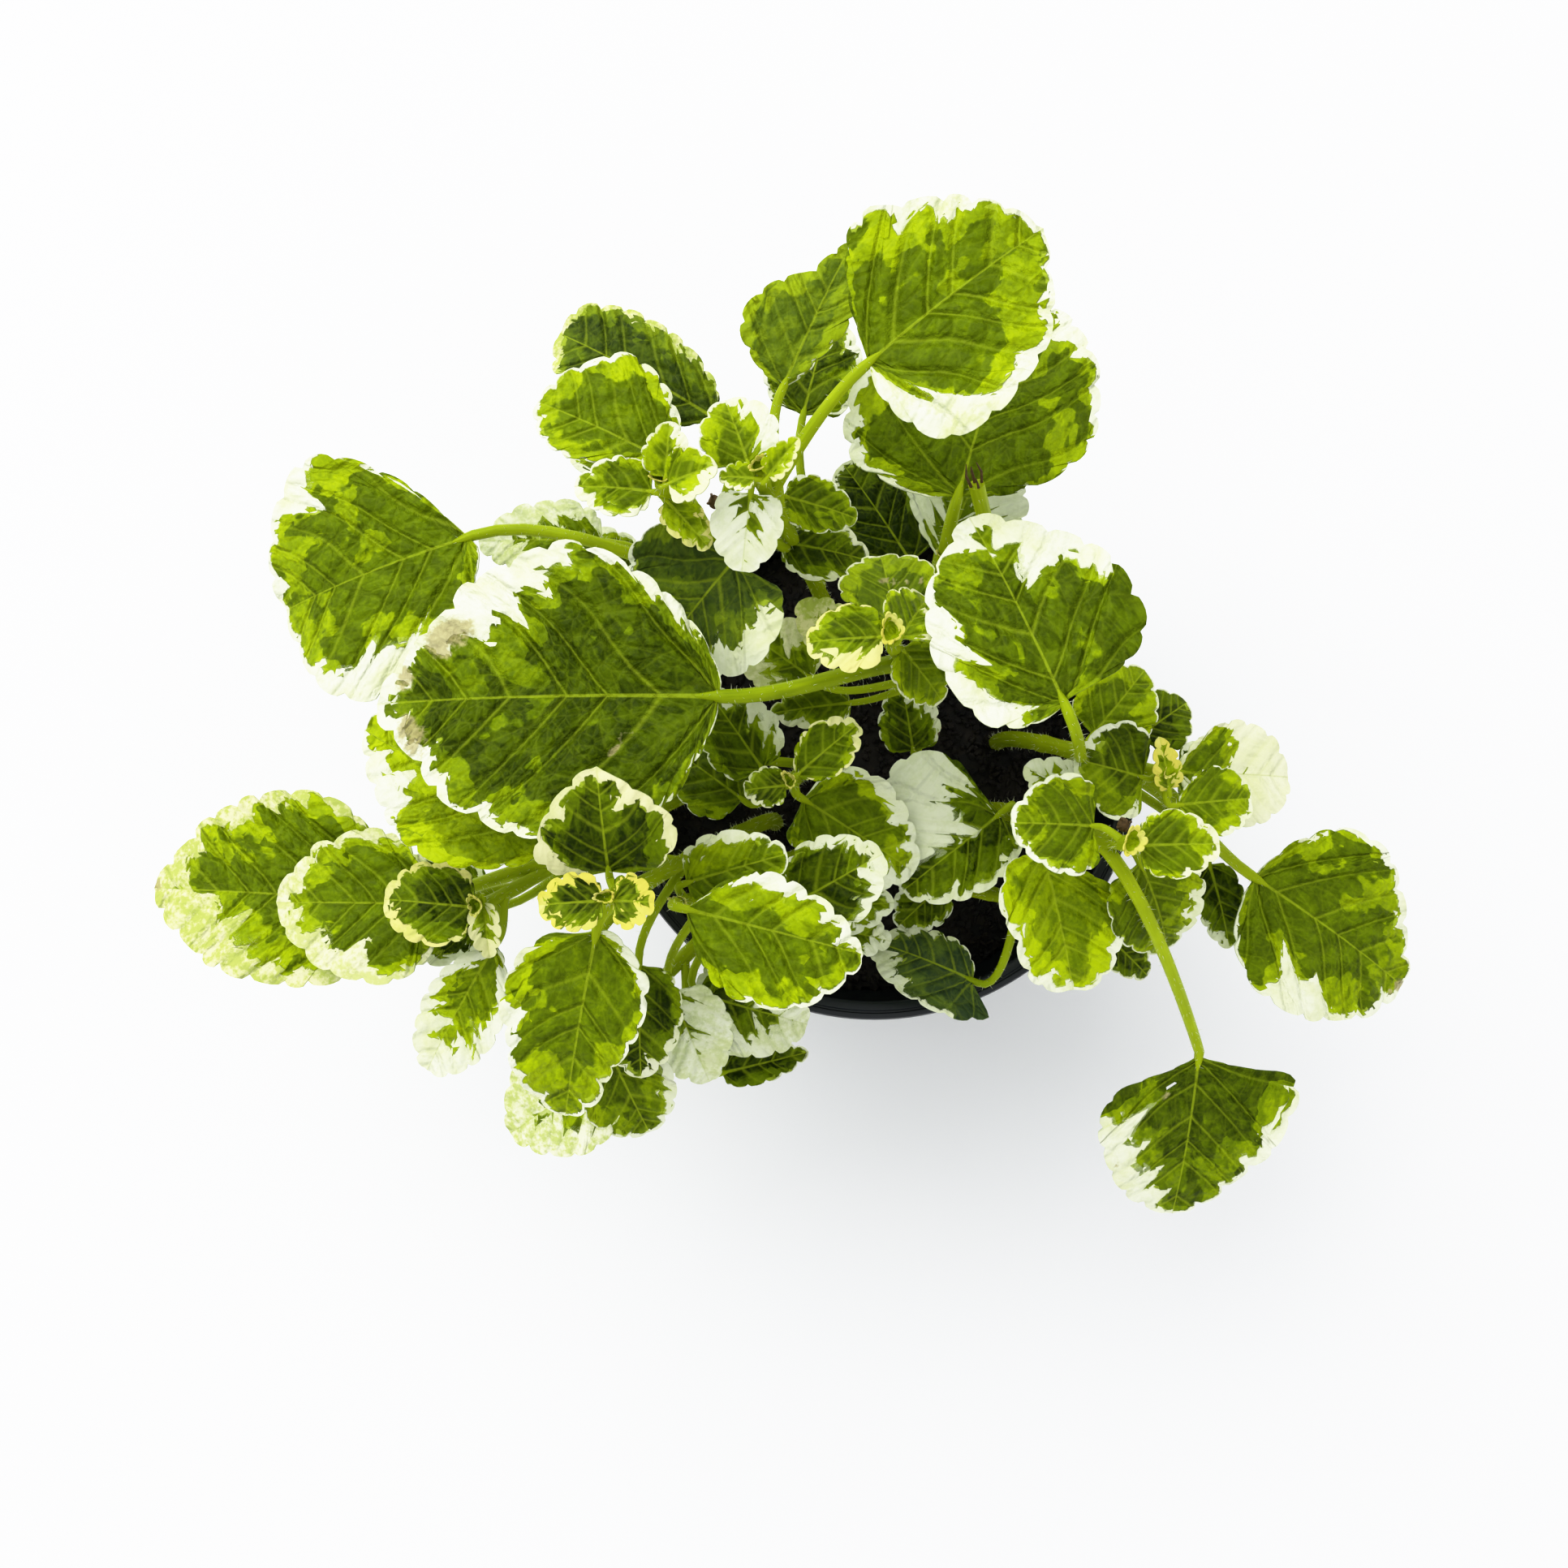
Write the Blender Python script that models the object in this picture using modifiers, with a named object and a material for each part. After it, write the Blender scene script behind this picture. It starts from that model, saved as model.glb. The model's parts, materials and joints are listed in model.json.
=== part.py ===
"""Variegated Swedish ivy in a round nursery pot.

The model is in metres, +Z up. The origin is the centre of the pot's base, which stands on z = 0.
+Y points to the far side of the plant and +X to its right, as it is seen from above.
"""

import math
from collections import namedtuple

import bpy
import bmesh
from mathutils import Vector

MM = 0.001

# Pot: a thin black pot with a banded lip, sizes in millimetres
POT_LIP_RADIUS = 55.0
POT_HEIGHT = 90.0
POT_LIP_BAND = 8.5
POT_LIP_FLANGE = 2.6
POT_FOOT_RADIUS = 38.0
POT_WALL = 1.2
POT_FLOOR = 1.6
POT_FOOT_ROUND = 2.5
POT_SHOULDER_DROP = 16.0
POT_SHOULDER_STEP = 1.0
POT_SIDES = 36
DRAIN_COUNT = 8
DRAIN_RADIUS = 3.2
DRAIN_RING = 29.0
DRAIN_SIDES = 8

# Potting mix
GAP = 0.3
MIX_TOP = 77.0
MIX_CROWN = 2.0
MIX_SIDES = 24

# Stems and leaf stalks
STEM_RADIUS = 1.9
STEM_TOP_RADIUS = 1.15
STEM_DEPTH = 13.0
STEM_STRAIGHT = 3.0
STEM_POINTS = 7
BUD_RINGS = ((0.8, 1.5), (2.6, 1.9), (4.6, 0.35))
STALK_HALF = 0.95
STALK_END_HALF = 0.62
STALK_POINTS = 3
STALK_STOP = 1.1
HOLE_SIDES = 8

# Leaf blades
BLADE_THICKNESS = 0.7
TOOTH = 0.055
ROWS_BY_LENGTH = ((14.0, 4), (24.0, 6), (36.0, 8))
MOST_ROWS = 12

# The plant is laid out along the sight lines of a lens above the pot. A place on the plant is
# given by where it is seen on a square picture and by its height over the pot's base.
PICTURE_SIZE = 1932.0
PICTURE_FOCUS = 1937.0
RIM_SEEN_AT = (1075.0, 923.0)
RIM_SEEN_RADIUS = 330.0
LENS_ELEVATION = math.radians(82.0)

LENS_AIM = Vector((0.0, math.cos(LENS_ELEVATION), -math.sin(LENS_ELEVATION)))
LENS_UP = Vector((0.0, math.sin(LENS_ELEVATION), math.cos(LENS_ELEVATION)))
LENS_RIGHT = Vector((1.0, 0.0, 0.0))
RIM_DISTANCE = POT_LIP_RADIUS * PICTURE_FOCUS / RIM_SEEN_RADIUS
RIM_OFFSET_RIGHT = (RIM_SEEN_AT[0] - PICTURE_SIZE / 2) / PICTURE_FOCUS * RIM_DISTANCE
RIM_OFFSET_UP = (PICTURE_SIZE / 2 - RIM_SEEN_AT[1]) / PICTURE_FOCUS * RIM_DISTANCE
LENS_PLACE = (Vector((0.0, 0.0, POT_HEIGHT)) - LENS_AIM * RIM_DISTANCE
              - LENS_RIGHT * RIM_OFFSET_RIGHT - LENS_UP * RIM_OFFSET_UP)

# The outlines that the blades follow: where the blade is widest (below 1 is nearer the stalk),
# and how square it is at the stalk and at the tip (smaller is squarer)
OUTLINES = {
    "ovate": (0.72, 0.62, 0.62),
    "round": (0.74, 0.50, 0.50),
    "broad": (0.58, 0.56, 0.68),
    "spoon": (1.05, 0.85, 0.48),
    "kite": (0.54, 0.62, 0.90),
}

# A leaf: along is how far up its stem the stalk leaves, base and tip are (across, down, height),
# width is the blade's width over its length, roll in degrees lifts its right side, arch lifts its
# middle as a share of its length, fold lifts its margins as a slope, skew widens its right half
# and lobes draw the left and the right lower margin back past the stalk.
Leaf = namedtuple("Leaf", "along base tip width outline roll arch fold skew lobes",
                  defaults=("ovate", 0.0, 0.06, 0.08, 0.0, (0.06, 0.06)))

# A stem: root is its place in the mix (x, y in millimetres), top is (across, down, height)
Stem = namedtuple("Stem", "root top rise leaves")

STEMS = {
    "stem_back_left": Stem((-20, 18), (815, 592, 164), 30, [
        Leaf(0.58, (881, 516, 143), (690, 412, 139), 0.60, "spoon"),
        Leaf(0.72, (828, 572, 153), (663, 496, 150), 0.90, "round"),
        Leaf(0.88, (803, 606, 161), (708, 600, 159), 0.78, fold=0.2),
        Leaf(0.84, (821, 617, 159), (874, 676, 156), 0.62),
        Leaf(0.97, (820, 588, 166), (826, 519, 169), 0.90, fold=0.2),
        Leaf(0.97, (824, 596, 166), (884, 574, 169), 1.05, fold=0.25),
        Leaf(0.42, (576, 662, 128), (354, 752, 118), 1.20, "spoon", lobes=(0.12, 0.0)),
        Leaf(0.30, (742, 668, 116), (590, 668, 112), 0.62),
        Leaf(0.16, (790, 730, 101), (655, 690, 95), 0.82),
        Leaf(0.34, (795, 560, 108), (690, 505, 101), 0.85),
    ]),
    "stem_back": Stem((-8, 26), (935, 577, 168), 30, [
        Leaf(0.80, (1070, 447, 170), (1286, 282, 176), 1.06, "round", skew=0.08,
             lobes=(0.0, 0.26)),
        Leaf(0.70, (965, 477, 150), (1052, 296, 152), 0.60, "broad", skew=-0.3, lobes=(0.0, 0.0)),
        Leaf(0.88, (922, 572, 163), (894, 494, 162), 1.12, "round", fold=0.2),
        Leaf(0.97, (947, 587, 169), (985, 540, 172), 0.62, fold=0.4),
        Leaf(0.97, (930, 590, 168), (886, 588, 167), 0.80, fold=0.25),
        Leaf(0.90, (925, 608, 162), (914, 704, 156), 0.90, "round", lobes=(0.12, 0.12)),
        Leaf(0.62, (966, 612, 146), (1056, 640, 142), 0.72),
        Leaf(0.55, (964, 668, 138), (1071, 692, 133), 0.72),
        Leaf(0.50, (905, 690, 150), (815, 812, 136), 1.25, arch=0.1, lobes=(0.2, 0.1)),
        Leaf(0.28, (990, 510, 114), (1022, 390, 108), 0.80),
    ]),
    "stem_centre": Stem((12, 9), (1098, 780, 162), 32, [
        Leaf(0.62, (885, 858, 156), (465, 868, 150), 0.86, "broad", lobes=(0.05, 0.05)),
        Leaf(0.93, (1088, 785, 163), (994, 792, 160), 0.86, "round"),
        Leaf(0.93, (1110, 785, 160), (1142, 738, 152), 0.90, fold=0.3),
        Leaf(0.80, (1105, 768, 148), (1085, 686, 141), 1.10, "spoon"),
        Leaf(0.85, (1112, 800, 151), (1160, 864, 143), 0.78),
        Leaf(0.40, (1000, 836, 128), (910, 774, 124), 0.84),
        Leaf(0.50, (1042, 795, 134), (984, 742, 132), 0.80),
        Leaf(0.36, (1048, 866, 120), (948, 880, 116), 0.52),
        Leaf(0.25, (1125, 925, 110), (1110, 838, 114), 0.85),
        Leaf(0.22, (1190, 815, 104), (1255, 735, 100), 0.85),
    ]),
    "stem_inner": Stem((-12, -3), (972, 962, 136), 24, [
        Leaf(0.97, (982, 955, 137), (1057, 892, 140), 0.70, "spoon", fold=0.2),
        Leaf(0.97, (968, 968, 137), (917, 974, 136), 0.98, "round", fold=0.2),
        Leaf(0.78, (990, 985, 126), (1126, 1075, 116), 0.82),
        Leaf(0.70, (940, 948, 126), (872, 852, 124), 0.80),
        Leaf(0.60, (915, 985, 118), (832, 925, 114), 0.90),
        Leaf(0.30, (872, 925, 101), (735, 880, 96), 0.85),
    ]),
    "stem_front_left": Stem((-20, -14), (748, 1105, 164), 26, [
        Leaf(0.98, (742, 1110, 165), (664, 1115, 164), 0.90, "round", fold=0.15),
        Leaf(0.98, (756, 1110, 165), (806, 1112, 165), 1.35, "round", fold=0.15),
        Leaf(0.88, (750, 1074, 158), (735, 945, 168), 1.10, "broad", lobes=(0.16, 0.16)),
        Leaf(0.86, (735, 1148, 156), (697, 1374, 140), 0.70),
        Leaf(0.55, (787, 1190, 130), (790, 1328, 122), 0.72),
        Leaf(0.60, (692, 1042, 138), (450, 900, 130), 0.74),
        Leaf(0.34, (732, 1165, 114), (676, 1285, 107), 0.76),
    ]),
    "stem_left": Stem((-32, -6), (590, 1115, 128), 22, [
        Leaf(0.62, (475, 1110, 108), (191, 1094, 100), 0.78, lobes=(0.12, 0.12)),
        Leaf(0.78, (530, 1114, 117), (341, 1112, 112), 0.90, lobes=(0.12, 0.12)),
        Leaf(0.96, (584, 1118, 127), (474, 1108, 124), 0.88, "round", fold=0.15),
        Leaf(0.96, (596, 1112, 128), (604, 1180, 124), 0.60, fold=0.5),
        Leaf(0.82, (610, 1164, 118), (527, 1318, 108), 0.54, "spoon", skew=-0.15),
        Leaf(0.45, (600, 1118, 98), (455, 1122, 90), 0.85),
    ]),
    "stem_front": Stem((-10, -20), (838, 1112, 142), 24, [
        Leaf(0.90, (846, 1088, 142), (970, 1052, 144), 0.74, "round"),
        Leaf(0.97, (845, 1120, 150), (1063, 1176, 148), 0.74),
        Leaf(0.75, (982, 1112, 131), (1088, 1052, 134), 0.95, "round"),
        Leaf(0.55, (988, 1122, 118), (1102, 1112, 115), 0.62),
        Leaf(0.45, (1010, 1140, 108), (1098, 1160, 106), 0.70),
        Leaf(0.70, (828, 1222, 118), (874, 1332, 108), 0.80),
        Leaf(0.50, (872, 1228, 110), (994, 1262, 102), 0.86, "round"),
        Leaf(0.26, (912, 1180, 99), (900, 1300, 93), 0.80),
    ]),
    "stem_low_front": Stem((-24, -28), (770, 1250, 118), 18, [
        Leaf(0.90, (745, 1318, 118), (630, 1396, 108), 0.90),
        Leaf(0.95, (756, 1306, 122), (800, 1394, 114), 1.05, "round"),
        Leaf(0.55, (890, 1322, 92), (996, 1296, 88), 0.42),
    ]),
    "stem_right": Stem((22, -12), (1392, 1038, 150), 26, [
        Leaf(0.93, (1348, 1018, 147), (1246, 1014, 152), 1.10, "round", lobes=(0.12, 0.12)),
        Leaf(0.95, (1404, 1042, 149), (1502, 1040, 148), 0.84, "round", fold=0.15),
        Leaf(0.70, (1286, 1052, 132), (1322, 1219, 124), 0.80),
        Leaf(0.80, (1405, 1064, 134), (1450, 1182, 124), 0.88),
        Leaf(0.72, (1477, 1303, 100), (1444, 1494, 82), 1.02, "kite", arch=0.05,
             lobes=(0.0, 0.0)),
        Leaf(0.60, (1335, 985, 126), (1262, 944, 126), 0.80),
        Leaf(0.40, (1362, 1152, 108), (1413, 1202, 102), 0.62),
        Leaf(0.28, (1232, 1003, 116), (1112, 1098, 112), 1.24, "round", skew=0.34,
             lobes=(0.1, 0.1)),
        Leaf(0.22, (1290, 1090, 103), (1312, 1190, 97), 0.85),
    ]),
    "stem_back_right": Stem((27, 3), (1437, 950, 138), 22, [
        Leaf(0.70, (1312, 868, 160), (1194, 638, 156), 0.90, lobes=(0.1, 0.0)),
        Leaf(0.92, (1408, 958, 138), (1324, 936, 142), 1.28, "round", lobes=(0.12, 0.12)),
        Leaf(0.97, (1452, 992, 136), (1541, 984, 134), 0.90, "spoon", fold=0.12),
        Leaf(0.95, (1452, 952, 130), (1586, 958, 122), 0.82, "spoon"),
        Leaf(0.97, (1440, 972, 138), (1428, 908, 142), 0.52, fold=0.3),
        Leaf(0.55, (1347, 905, 114), (1410, 826, 110), 0.92),
        Leaf(0.45, (1406, 905, 104), (1462, 866, 100), 1.0),
        Leaf(0.72, (1547, 1082, 112), (1726, 1214, 100), 0.90, lobes=(0.0, 0.0)),
        Leaf(0.50, (1490, 1066, 98), (1514, 1168, 90), 0.52),
        Leaf(0.36, (1450, 960, 104), (1565, 968, 97), 0.82),
        Leaf(0.34, (1560, 1090, 97), (1672, 1180, 89), 0.82),
    ]),
    "stem_far_right": Stem((10, 26), (1163, 688, 124), 18, [
        Leaf(0.98, (1180, 612, 134), (1250, 372, 126), 1.12, "broad", skew=-0.08,
             lobes=(0.1, 0.0)),
        Leaf(0.90, (1160, 692, 114), (1215, 556, 108), 0.88, "spoon", lobes=(0.0, 0.0)),
        Leaf(0.55, (1122, 692, 98), (1038, 572, 94), 0.76),
        Leaf(0.50, (1178, 560, 100), (1205, 440, 94), 0.85),
    ]),
    "stem_front_right": Stem((12, -27), (1262, 1108, 112), 16, [
        Leaf(0.60, (1160, 1090, 102), (1106, 1142, 98), 0.90),
        Leaf(0.90, (1198, 1208, 104), (1072, 1160, 98), 0.72, roll=-20.0, skew=-0.2,
             lobes=(0.42, 0.0)),
    ]),
}

# Stalks whose leaf was cut off: how far up the stem they leave, a place midway and their end
CUT_STALKS = {
    "stem_far_right": (0.80, (1217, 655, 138), (1203, 597, 147)),
}
CUT_STALK_RADIUS = 1.45


def clear_scene():
    for item in list(bpy.data.objects):
        bpy.data.objects.remove(item, do_unlink=True)


def new_collection(name):
    group = bpy.data.collections.new(name)
    bpy.context.scene.collection.children.link(group)
    return group


def new_material(name, colour, roughness):
    material = bpy.data.materials.new(name)
    material.use_nodes = True
    shader = material.node_tree.nodes["Principled BSDF"]
    shader.inputs["Base Color"].default_value = (*colour, 1.0)
    shader.inputs["Roughness"].default_value = roughness
    shader.inputs["Metallic"].default_value = 0.0
    return material


def sight(across, down, height):
    """Where the sight line through a place on the picture meets a height, in millimetres."""
    right = (across - PICTURE_SIZE / 2) / PICTURE_FOCUS
    up = (PICTURE_SIZE / 2 - down) / PICTURE_FOCUS
    line = LENS_AIM + LENS_RIGHT * right + LENS_UP * up
    return LENS_PLACE + line * ((height - LENS_PLACE.z) / line.z)


def bezier(start, pull, push, end, share):
    rest = 1.0 - share
    return (start * rest ** 3 + pull * (3 * rest ** 2 * share)
            + push * (3 * rest * share ** 2) + end * share ** 3)


def stem_point(stem, share):
    """A point on the stem's middle line, from the mix's surface (0) to its top (1)."""
    foot = Vector((*stem.root, MIX_TOP + STEM_STRAIGHT))
    top = sight(*stem.top)
    rise = Vector((0.0, 0.0, stem.rise))
    return bezier(foot, foot + rise, top - rise * 0.5, top, share)


def leaf_frame(leaf):
    """Base point, length and the directions along, right and out of a blade."""
    base = sight(*leaf.base)
    run = sight(*leaf.tip) - base
    length = run.length
    along = run.normalized()
    out = (Vector((0.0, 0.0, 1.0)) - along * along.z).normalized()
    right = along.cross(out)
    turn = math.radians(leaf.roll)
    rolled_right = right * math.cos(turn) + out * math.sin(turn)
    rolled_out = out * math.cos(turn) - right * math.sin(turn)
    return base, length, along, rolled_right, rolled_out


def half_width(outline, share):
    """Half of an outline of unit width, share of the way from the stalk to the tip."""
    widest, base_square, tip_square = OUTLINES[outline]
    inside = max(0.0, math.sin(math.pi * share ** widest))
    return 0.5 * inside ** (base_square + (tip_square - base_square) * share)


def blade_point(leaf, share, side, tooth=0.0):
    """A point of the blade, share from stalk to tip and side from -1 (left) to 1 (right)."""
    base, length, along, right, out = leaf_frame(leaf)
    half = half_width(leaf.outline, share) * leaf.width * length
    half *= (1.0 + leaf.skew * side) * (1.0 + tooth)
    slope = math.atan(leaf.fold)
    lobe = leaf.lobes[1] if side > 0.0 else leaf.lobes[0]
    forward = share - lobe * side ** 2 * (1.0 - share) ** 2
    across = side * half * math.cos(slope)
    lift = abs(side) * half * math.sin(slope) + leaf.arch * length * 4 * share * (1.0 - share)
    return base + along * (forward * length) + right * across + out * lift


def blade_rows(leaf):
    length = (sight(*leaf.tip) - sight(*leaf.base)).length
    for limit, rows in ROWS_BY_LENGTH:
        if length < limit:
            return rows
    return MOST_ROWS


def add_object(name, mesh, group):
    item = bpy.data.objects.new(name, mesh)
    group.objects.link(item)
    return item


def plain_mesh(item, group, weld=True):
    """The object as its curve and modifiers leave it, as a plain mesh object in its place."""
    bpy.context.view_layer.update()
    evaluated = item.evaluated_get(bpy.context.evaluated_depsgraph_get())
    mesh = bpy.data.meshes.new_from_object(evaluated)
    if weld:
        shell = bmesh.new()
        shell.from_mesh(mesh)
        bmesh.ops.remove_doubles(shell, verts=shell.verts, dist=0.01 * MM)
        bmesh.ops.triangulate(shell, faces=shell.faces)
        bmesh.ops.recalc_face_normals(shell, faces=shell.faces)
        shell.to_mesh(mesh)
        shell.free()
    name = item.name
    place = item.matrix_world.copy()
    bpy.data.objects.remove(item, do_unlink=True)
    plain = add_object(name, mesh, group)
    plain.matrix_world = place
    return plain


def tube(name, points, radii, group):
    """A square-sided tube through the points, which are in millimetres."""
    curve = bpy.data.curves.new(name, "CURVE")
    curve.dimensions = "3D"
    curve.bevel_depth = 1.0
    curve.bevel_resolution = 0
    curve.use_fill_caps = True
    spline = curve.splines.new("POLY")
    spline.points.add(len(points) - 1)
    for knot, point, radius in zip(spline.points, points, radii):
        knot.co = (*(point * MM), 1.0)
        knot.radius = radius * MM
    return plain_mesh(add_object(name, curve, group), group)


def stalk_rings(stem, leaf):
    """Middle points and half sizes of the leaf stalk, from inside the stem to the blade."""
    start = stem_point(stem, leaf.along)
    base, length, along, right, out = leaf_frame(leaf)
    heading = (blade_point(leaf, 0.1, 0.0) - base).normalized()
    end = base - heading * STALK_STOP
    reach = (end - start).length
    level = Vector((end.x - start.x, end.y - start.y, 0.0))
    leave = start + level * 0.25 + Vector((0.0, 0.0, 0.28 * reach))
    arrive = end - heading * (0.3 * reach)
    rings = []
    for step in range(STALK_POINTS + 1):
        share = step / STALK_POINTS
        half = STALK_HALF + (STALK_END_HALF - STALK_HALF) * share
        rings.append((bezier(start, leave, arrive, end, share), half))
    return rings


def leaf_body(name, stem, leaf, group):
    """A toothed blade and its three-sided stalk as one closed shape."""
    rows = blade_rows(leaf)
    base, length, along, right, out = leaf_frame(leaf)
    shape = bmesh.new()

    def face_grid(lift):
        grid = []
        for row in range(rows + 1):
            tooth = 0.0
            if 1 < row < rows:
                tooth = TOOTH if row % 2 else -TOOTH
            if row == 0:
                places = [base - right * STALK_END_HALF, base, base + right * STALK_END_HALF]
            else:
                places = [blade_point(leaf, row / rows, side, tooth) for side in (-1, 0, 1)]
            if row == rows:
                tip = shape.verts.new((places[1] + out * lift) * MM)
                grid.append([tip, tip, tip])
            else:
                grid.append([shape.verts.new((place + out * lift) * MM) for place in places])
        return grid

    def add_triangle(*corners):
        if len(set(corners)) == 3:
            shape.faces.new(corners)

    upper = face_grid(BLADE_THICKNESS / 2)
    lower = face_grid(-BLADE_THICKNESS / 2)
    for grid in (upper, lower):
        for near, far in zip(grid, grid[1:]):
            for margin in (0, 2):
                add_triangle(near[1], near[margin], far[margin])
                add_triangle(near[1], far[margin], far[1])
    for row in range(rows):
        for margin in (0, 2):
            add_triangle(upper[row][margin], lower[row][margin], lower[row + 1][margin])
            add_triangle(upper[row][margin], lower[row + 1][margin], upper[row + 1][margin])

    # The stalk's rings are laid from the blade back to the stem
    rings = stalk_rings(stem, leaf)
    across = right
    previous = None
    for number in range(len(rings) - 1, -1, -1):
        middle, half = rings[number]
        ahead = rings[min(number + 1, len(rings) - 1)][0]
        behind = rings[max(number - 1, 0)][0]
        course = (ahead - behind).normalized()
        across = (across - course * across.dot(course)).normalized()
        above = across.cross(course)
        ring = [shape.verts.new((middle + across * (half * side) + above * (half * up)) * MM)
                for side, up in ((-1.0, 0.6), (1.0, 0.6), (0.0, -1.1))]
        if previous is None:
            left_corner, right_corner, low_corner = ring
            add_triangle(upper[0][0], upper[0][1], left_corner)
            add_triangle(upper[0][1], right_corner, left_corner)
            add_triangle(upper[0][1], upper[0][2], right_corner)
            add_triangle(lower[0][0], lower[0][1], low_corner)
            add_triangle(lower[0][1], lower[0][2], low_corner)
            add_triangle(upper[0][0], lower[0][0], low_corner)
            add_triangle(upper[0][0], low_corner, left_corner)
            add_triangle(upper[0][2], lower[0][2], low_corner)
            add_triangle(upper[0][2], low_corner, right_corner)
        else:
            for corner in range(3):
                after = (corner + 1) % 3
                add_triangle(previous[corner], previous[after], ring[after])
                add_triangle(previous[corner], ring[after], ring[corner])
        previous = ring
    add_triangle(*previous)

    bmesh.ops.recalc_face_normals(shape, faces=shape.faces)
    mesh = bpy.data.meshes.new(name)
    shape.to_mesh(mesh)
    shape.free()
    return add_object(name, mesh, group)


def keep_largest_shell(mesh):
    """Drop the scraps and fill the sealed hollows that fusing leaves behind."""
    shell = bmesh.new()
    shell.from_mesh(mesh)
    waiting = set(shell.verts)
    islands = []
    while waiting:
        island = []
        edge_of_island = [waiting.pop()]
        while edge_of_island:
            vert = edge_of_island.pop()
            island.append(vert)
            for edge in vert.link_edges:
                other = edge.other_vert(vert)
                if other in waiting:
                    waiting.remove(other)
                    edge_of_island.append(other)
        islands.append(island)
    islands.sort(key=len)
    for island in islands[:-1]:
        bmesh.ops.delete(shell, geom=island, context="VERTS")
    shell.to_mesh(mesh)
    shell.free()


def leafy_stem(name, stem, group, material):
    """A stem with all its stalks and blades, fused into one body."""
    below = Vector((*stem.root, MIX_TOP - STEM_DEPTH))
    points = [below] + [stem_point(stem, step / STEM_POINTS) for step in range(STEM_POINTS + 1)]
    radii = [STEM_RADIUS] + [STEM_RADIUS + (STEM_TOP_RADIUS - STEM_RADIUS) * step / STEM_POINTS
                             for step in range(STEM_POINTS + 1)]
    upwards = (points[-1] - points[-2]).normalized()
    top = points[-1]
    for rise, radius in BUD_RINGS:
        points.append(top + upwards * rise)
        radii.append(radius)
    body = tube(name, points, radii, group)
    pieces = new_collection(name + "_pieces")
    for number, leaf in enumerate(stem.leaves):
        leaf_body("%s_leaf_%d" % (name, number), stem, leaf, pieces)
    if name in CUT_STALKS:
        share, midway, end = CUT_STALKS[name]
        places = [stem_point(stem, share), sight(*midway), sight(*end)]
        tube(name + "_cut_stalk", places, [CUT_STALK_RADIUS] * 3, pieces)
    union = body.modifiers.new("Fuse", "BOOLEAN")
    union.operation = "UNION"
    union.operand_type = "COLLECTION"
    union.collection = pieces
    union.solver = "MANIFOLD"
    body = plain_mesh(body, group, weld=False)
    for item in list(pieces.objects):
        bpy.data.objects.remove(item, do_unlink=True)
    bpy.data.collections.remove(pieces)
    keep_largest_shell(body.data)
    body.data.materials.clear()
    body.data.materials.append(material)
    return body


def turned(name, profile, sides, group):
    """A closed profile of (radius, height) points in millimetres, turned about Z."""
    outline = bmesh.new()
    verts = [outline.verts.new((radius * MM, 0.0, height * MM)) for radius, height in profile]
    for first, second in zip(verts, verts[1:]):
        outline.edges.new((first, second))
    mesh = bpy.data.meshes.new(name)
    outline.to_mesh(mesh)
    outline.free()
    item = add_object(name, mesh, group)
    screw = item.modifiers.new("Turn", "SCREW")
    screw.steps = sides
    screw.render_steps = sides
    screw.use_merge_vertices = True
    screw.merge_threshold = 0.0001 * MM
    return plain_mesh(item, group)


def wall_radius(height):
    """Outer radius of the pot's tapered wall at a height."""
    top = POT_LIP_RADIUS - POT_LIP_FLANGE
    return POT_FOOT_RADIUS + (top - POT_FOOT_RADIUS) * height / POT_HEIGHT


def cut(item, cutters, group):
    """Cut every object of a collection out of the item."""
    trim = item.modifiers.new("Cut", "BOOLEAN")
    trim.operation = "DIFFERENCE"
    trim.operand_type = "COLLECTION"
    trim.collection = cutters
    trim.solver = "MANIFOLD"
    return plain_mesh(item, group, weld=False)


def peg(name, place, radius, low, high, sides, group):
    """A plain upright round cutter."""
    shape = bmesh.new()
    bmesh.ops.create_cone(shape, cap_ends=True, segments=sides, radius1=radius * MM,
                          radius2=radius * MM, depth=(high - low) * MM)
    mesh = bpy.data.meshes.new(name)
    shape.to_mesh(mesh)
    shape.free()
    item = add_object(name, mesh, group)
    item.location = (place[0] * MM, place[1] * MM, (low + high) / 2 * MM)
    item.hide_render = True
    item.display_type = "WIRE"
    return item


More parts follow.
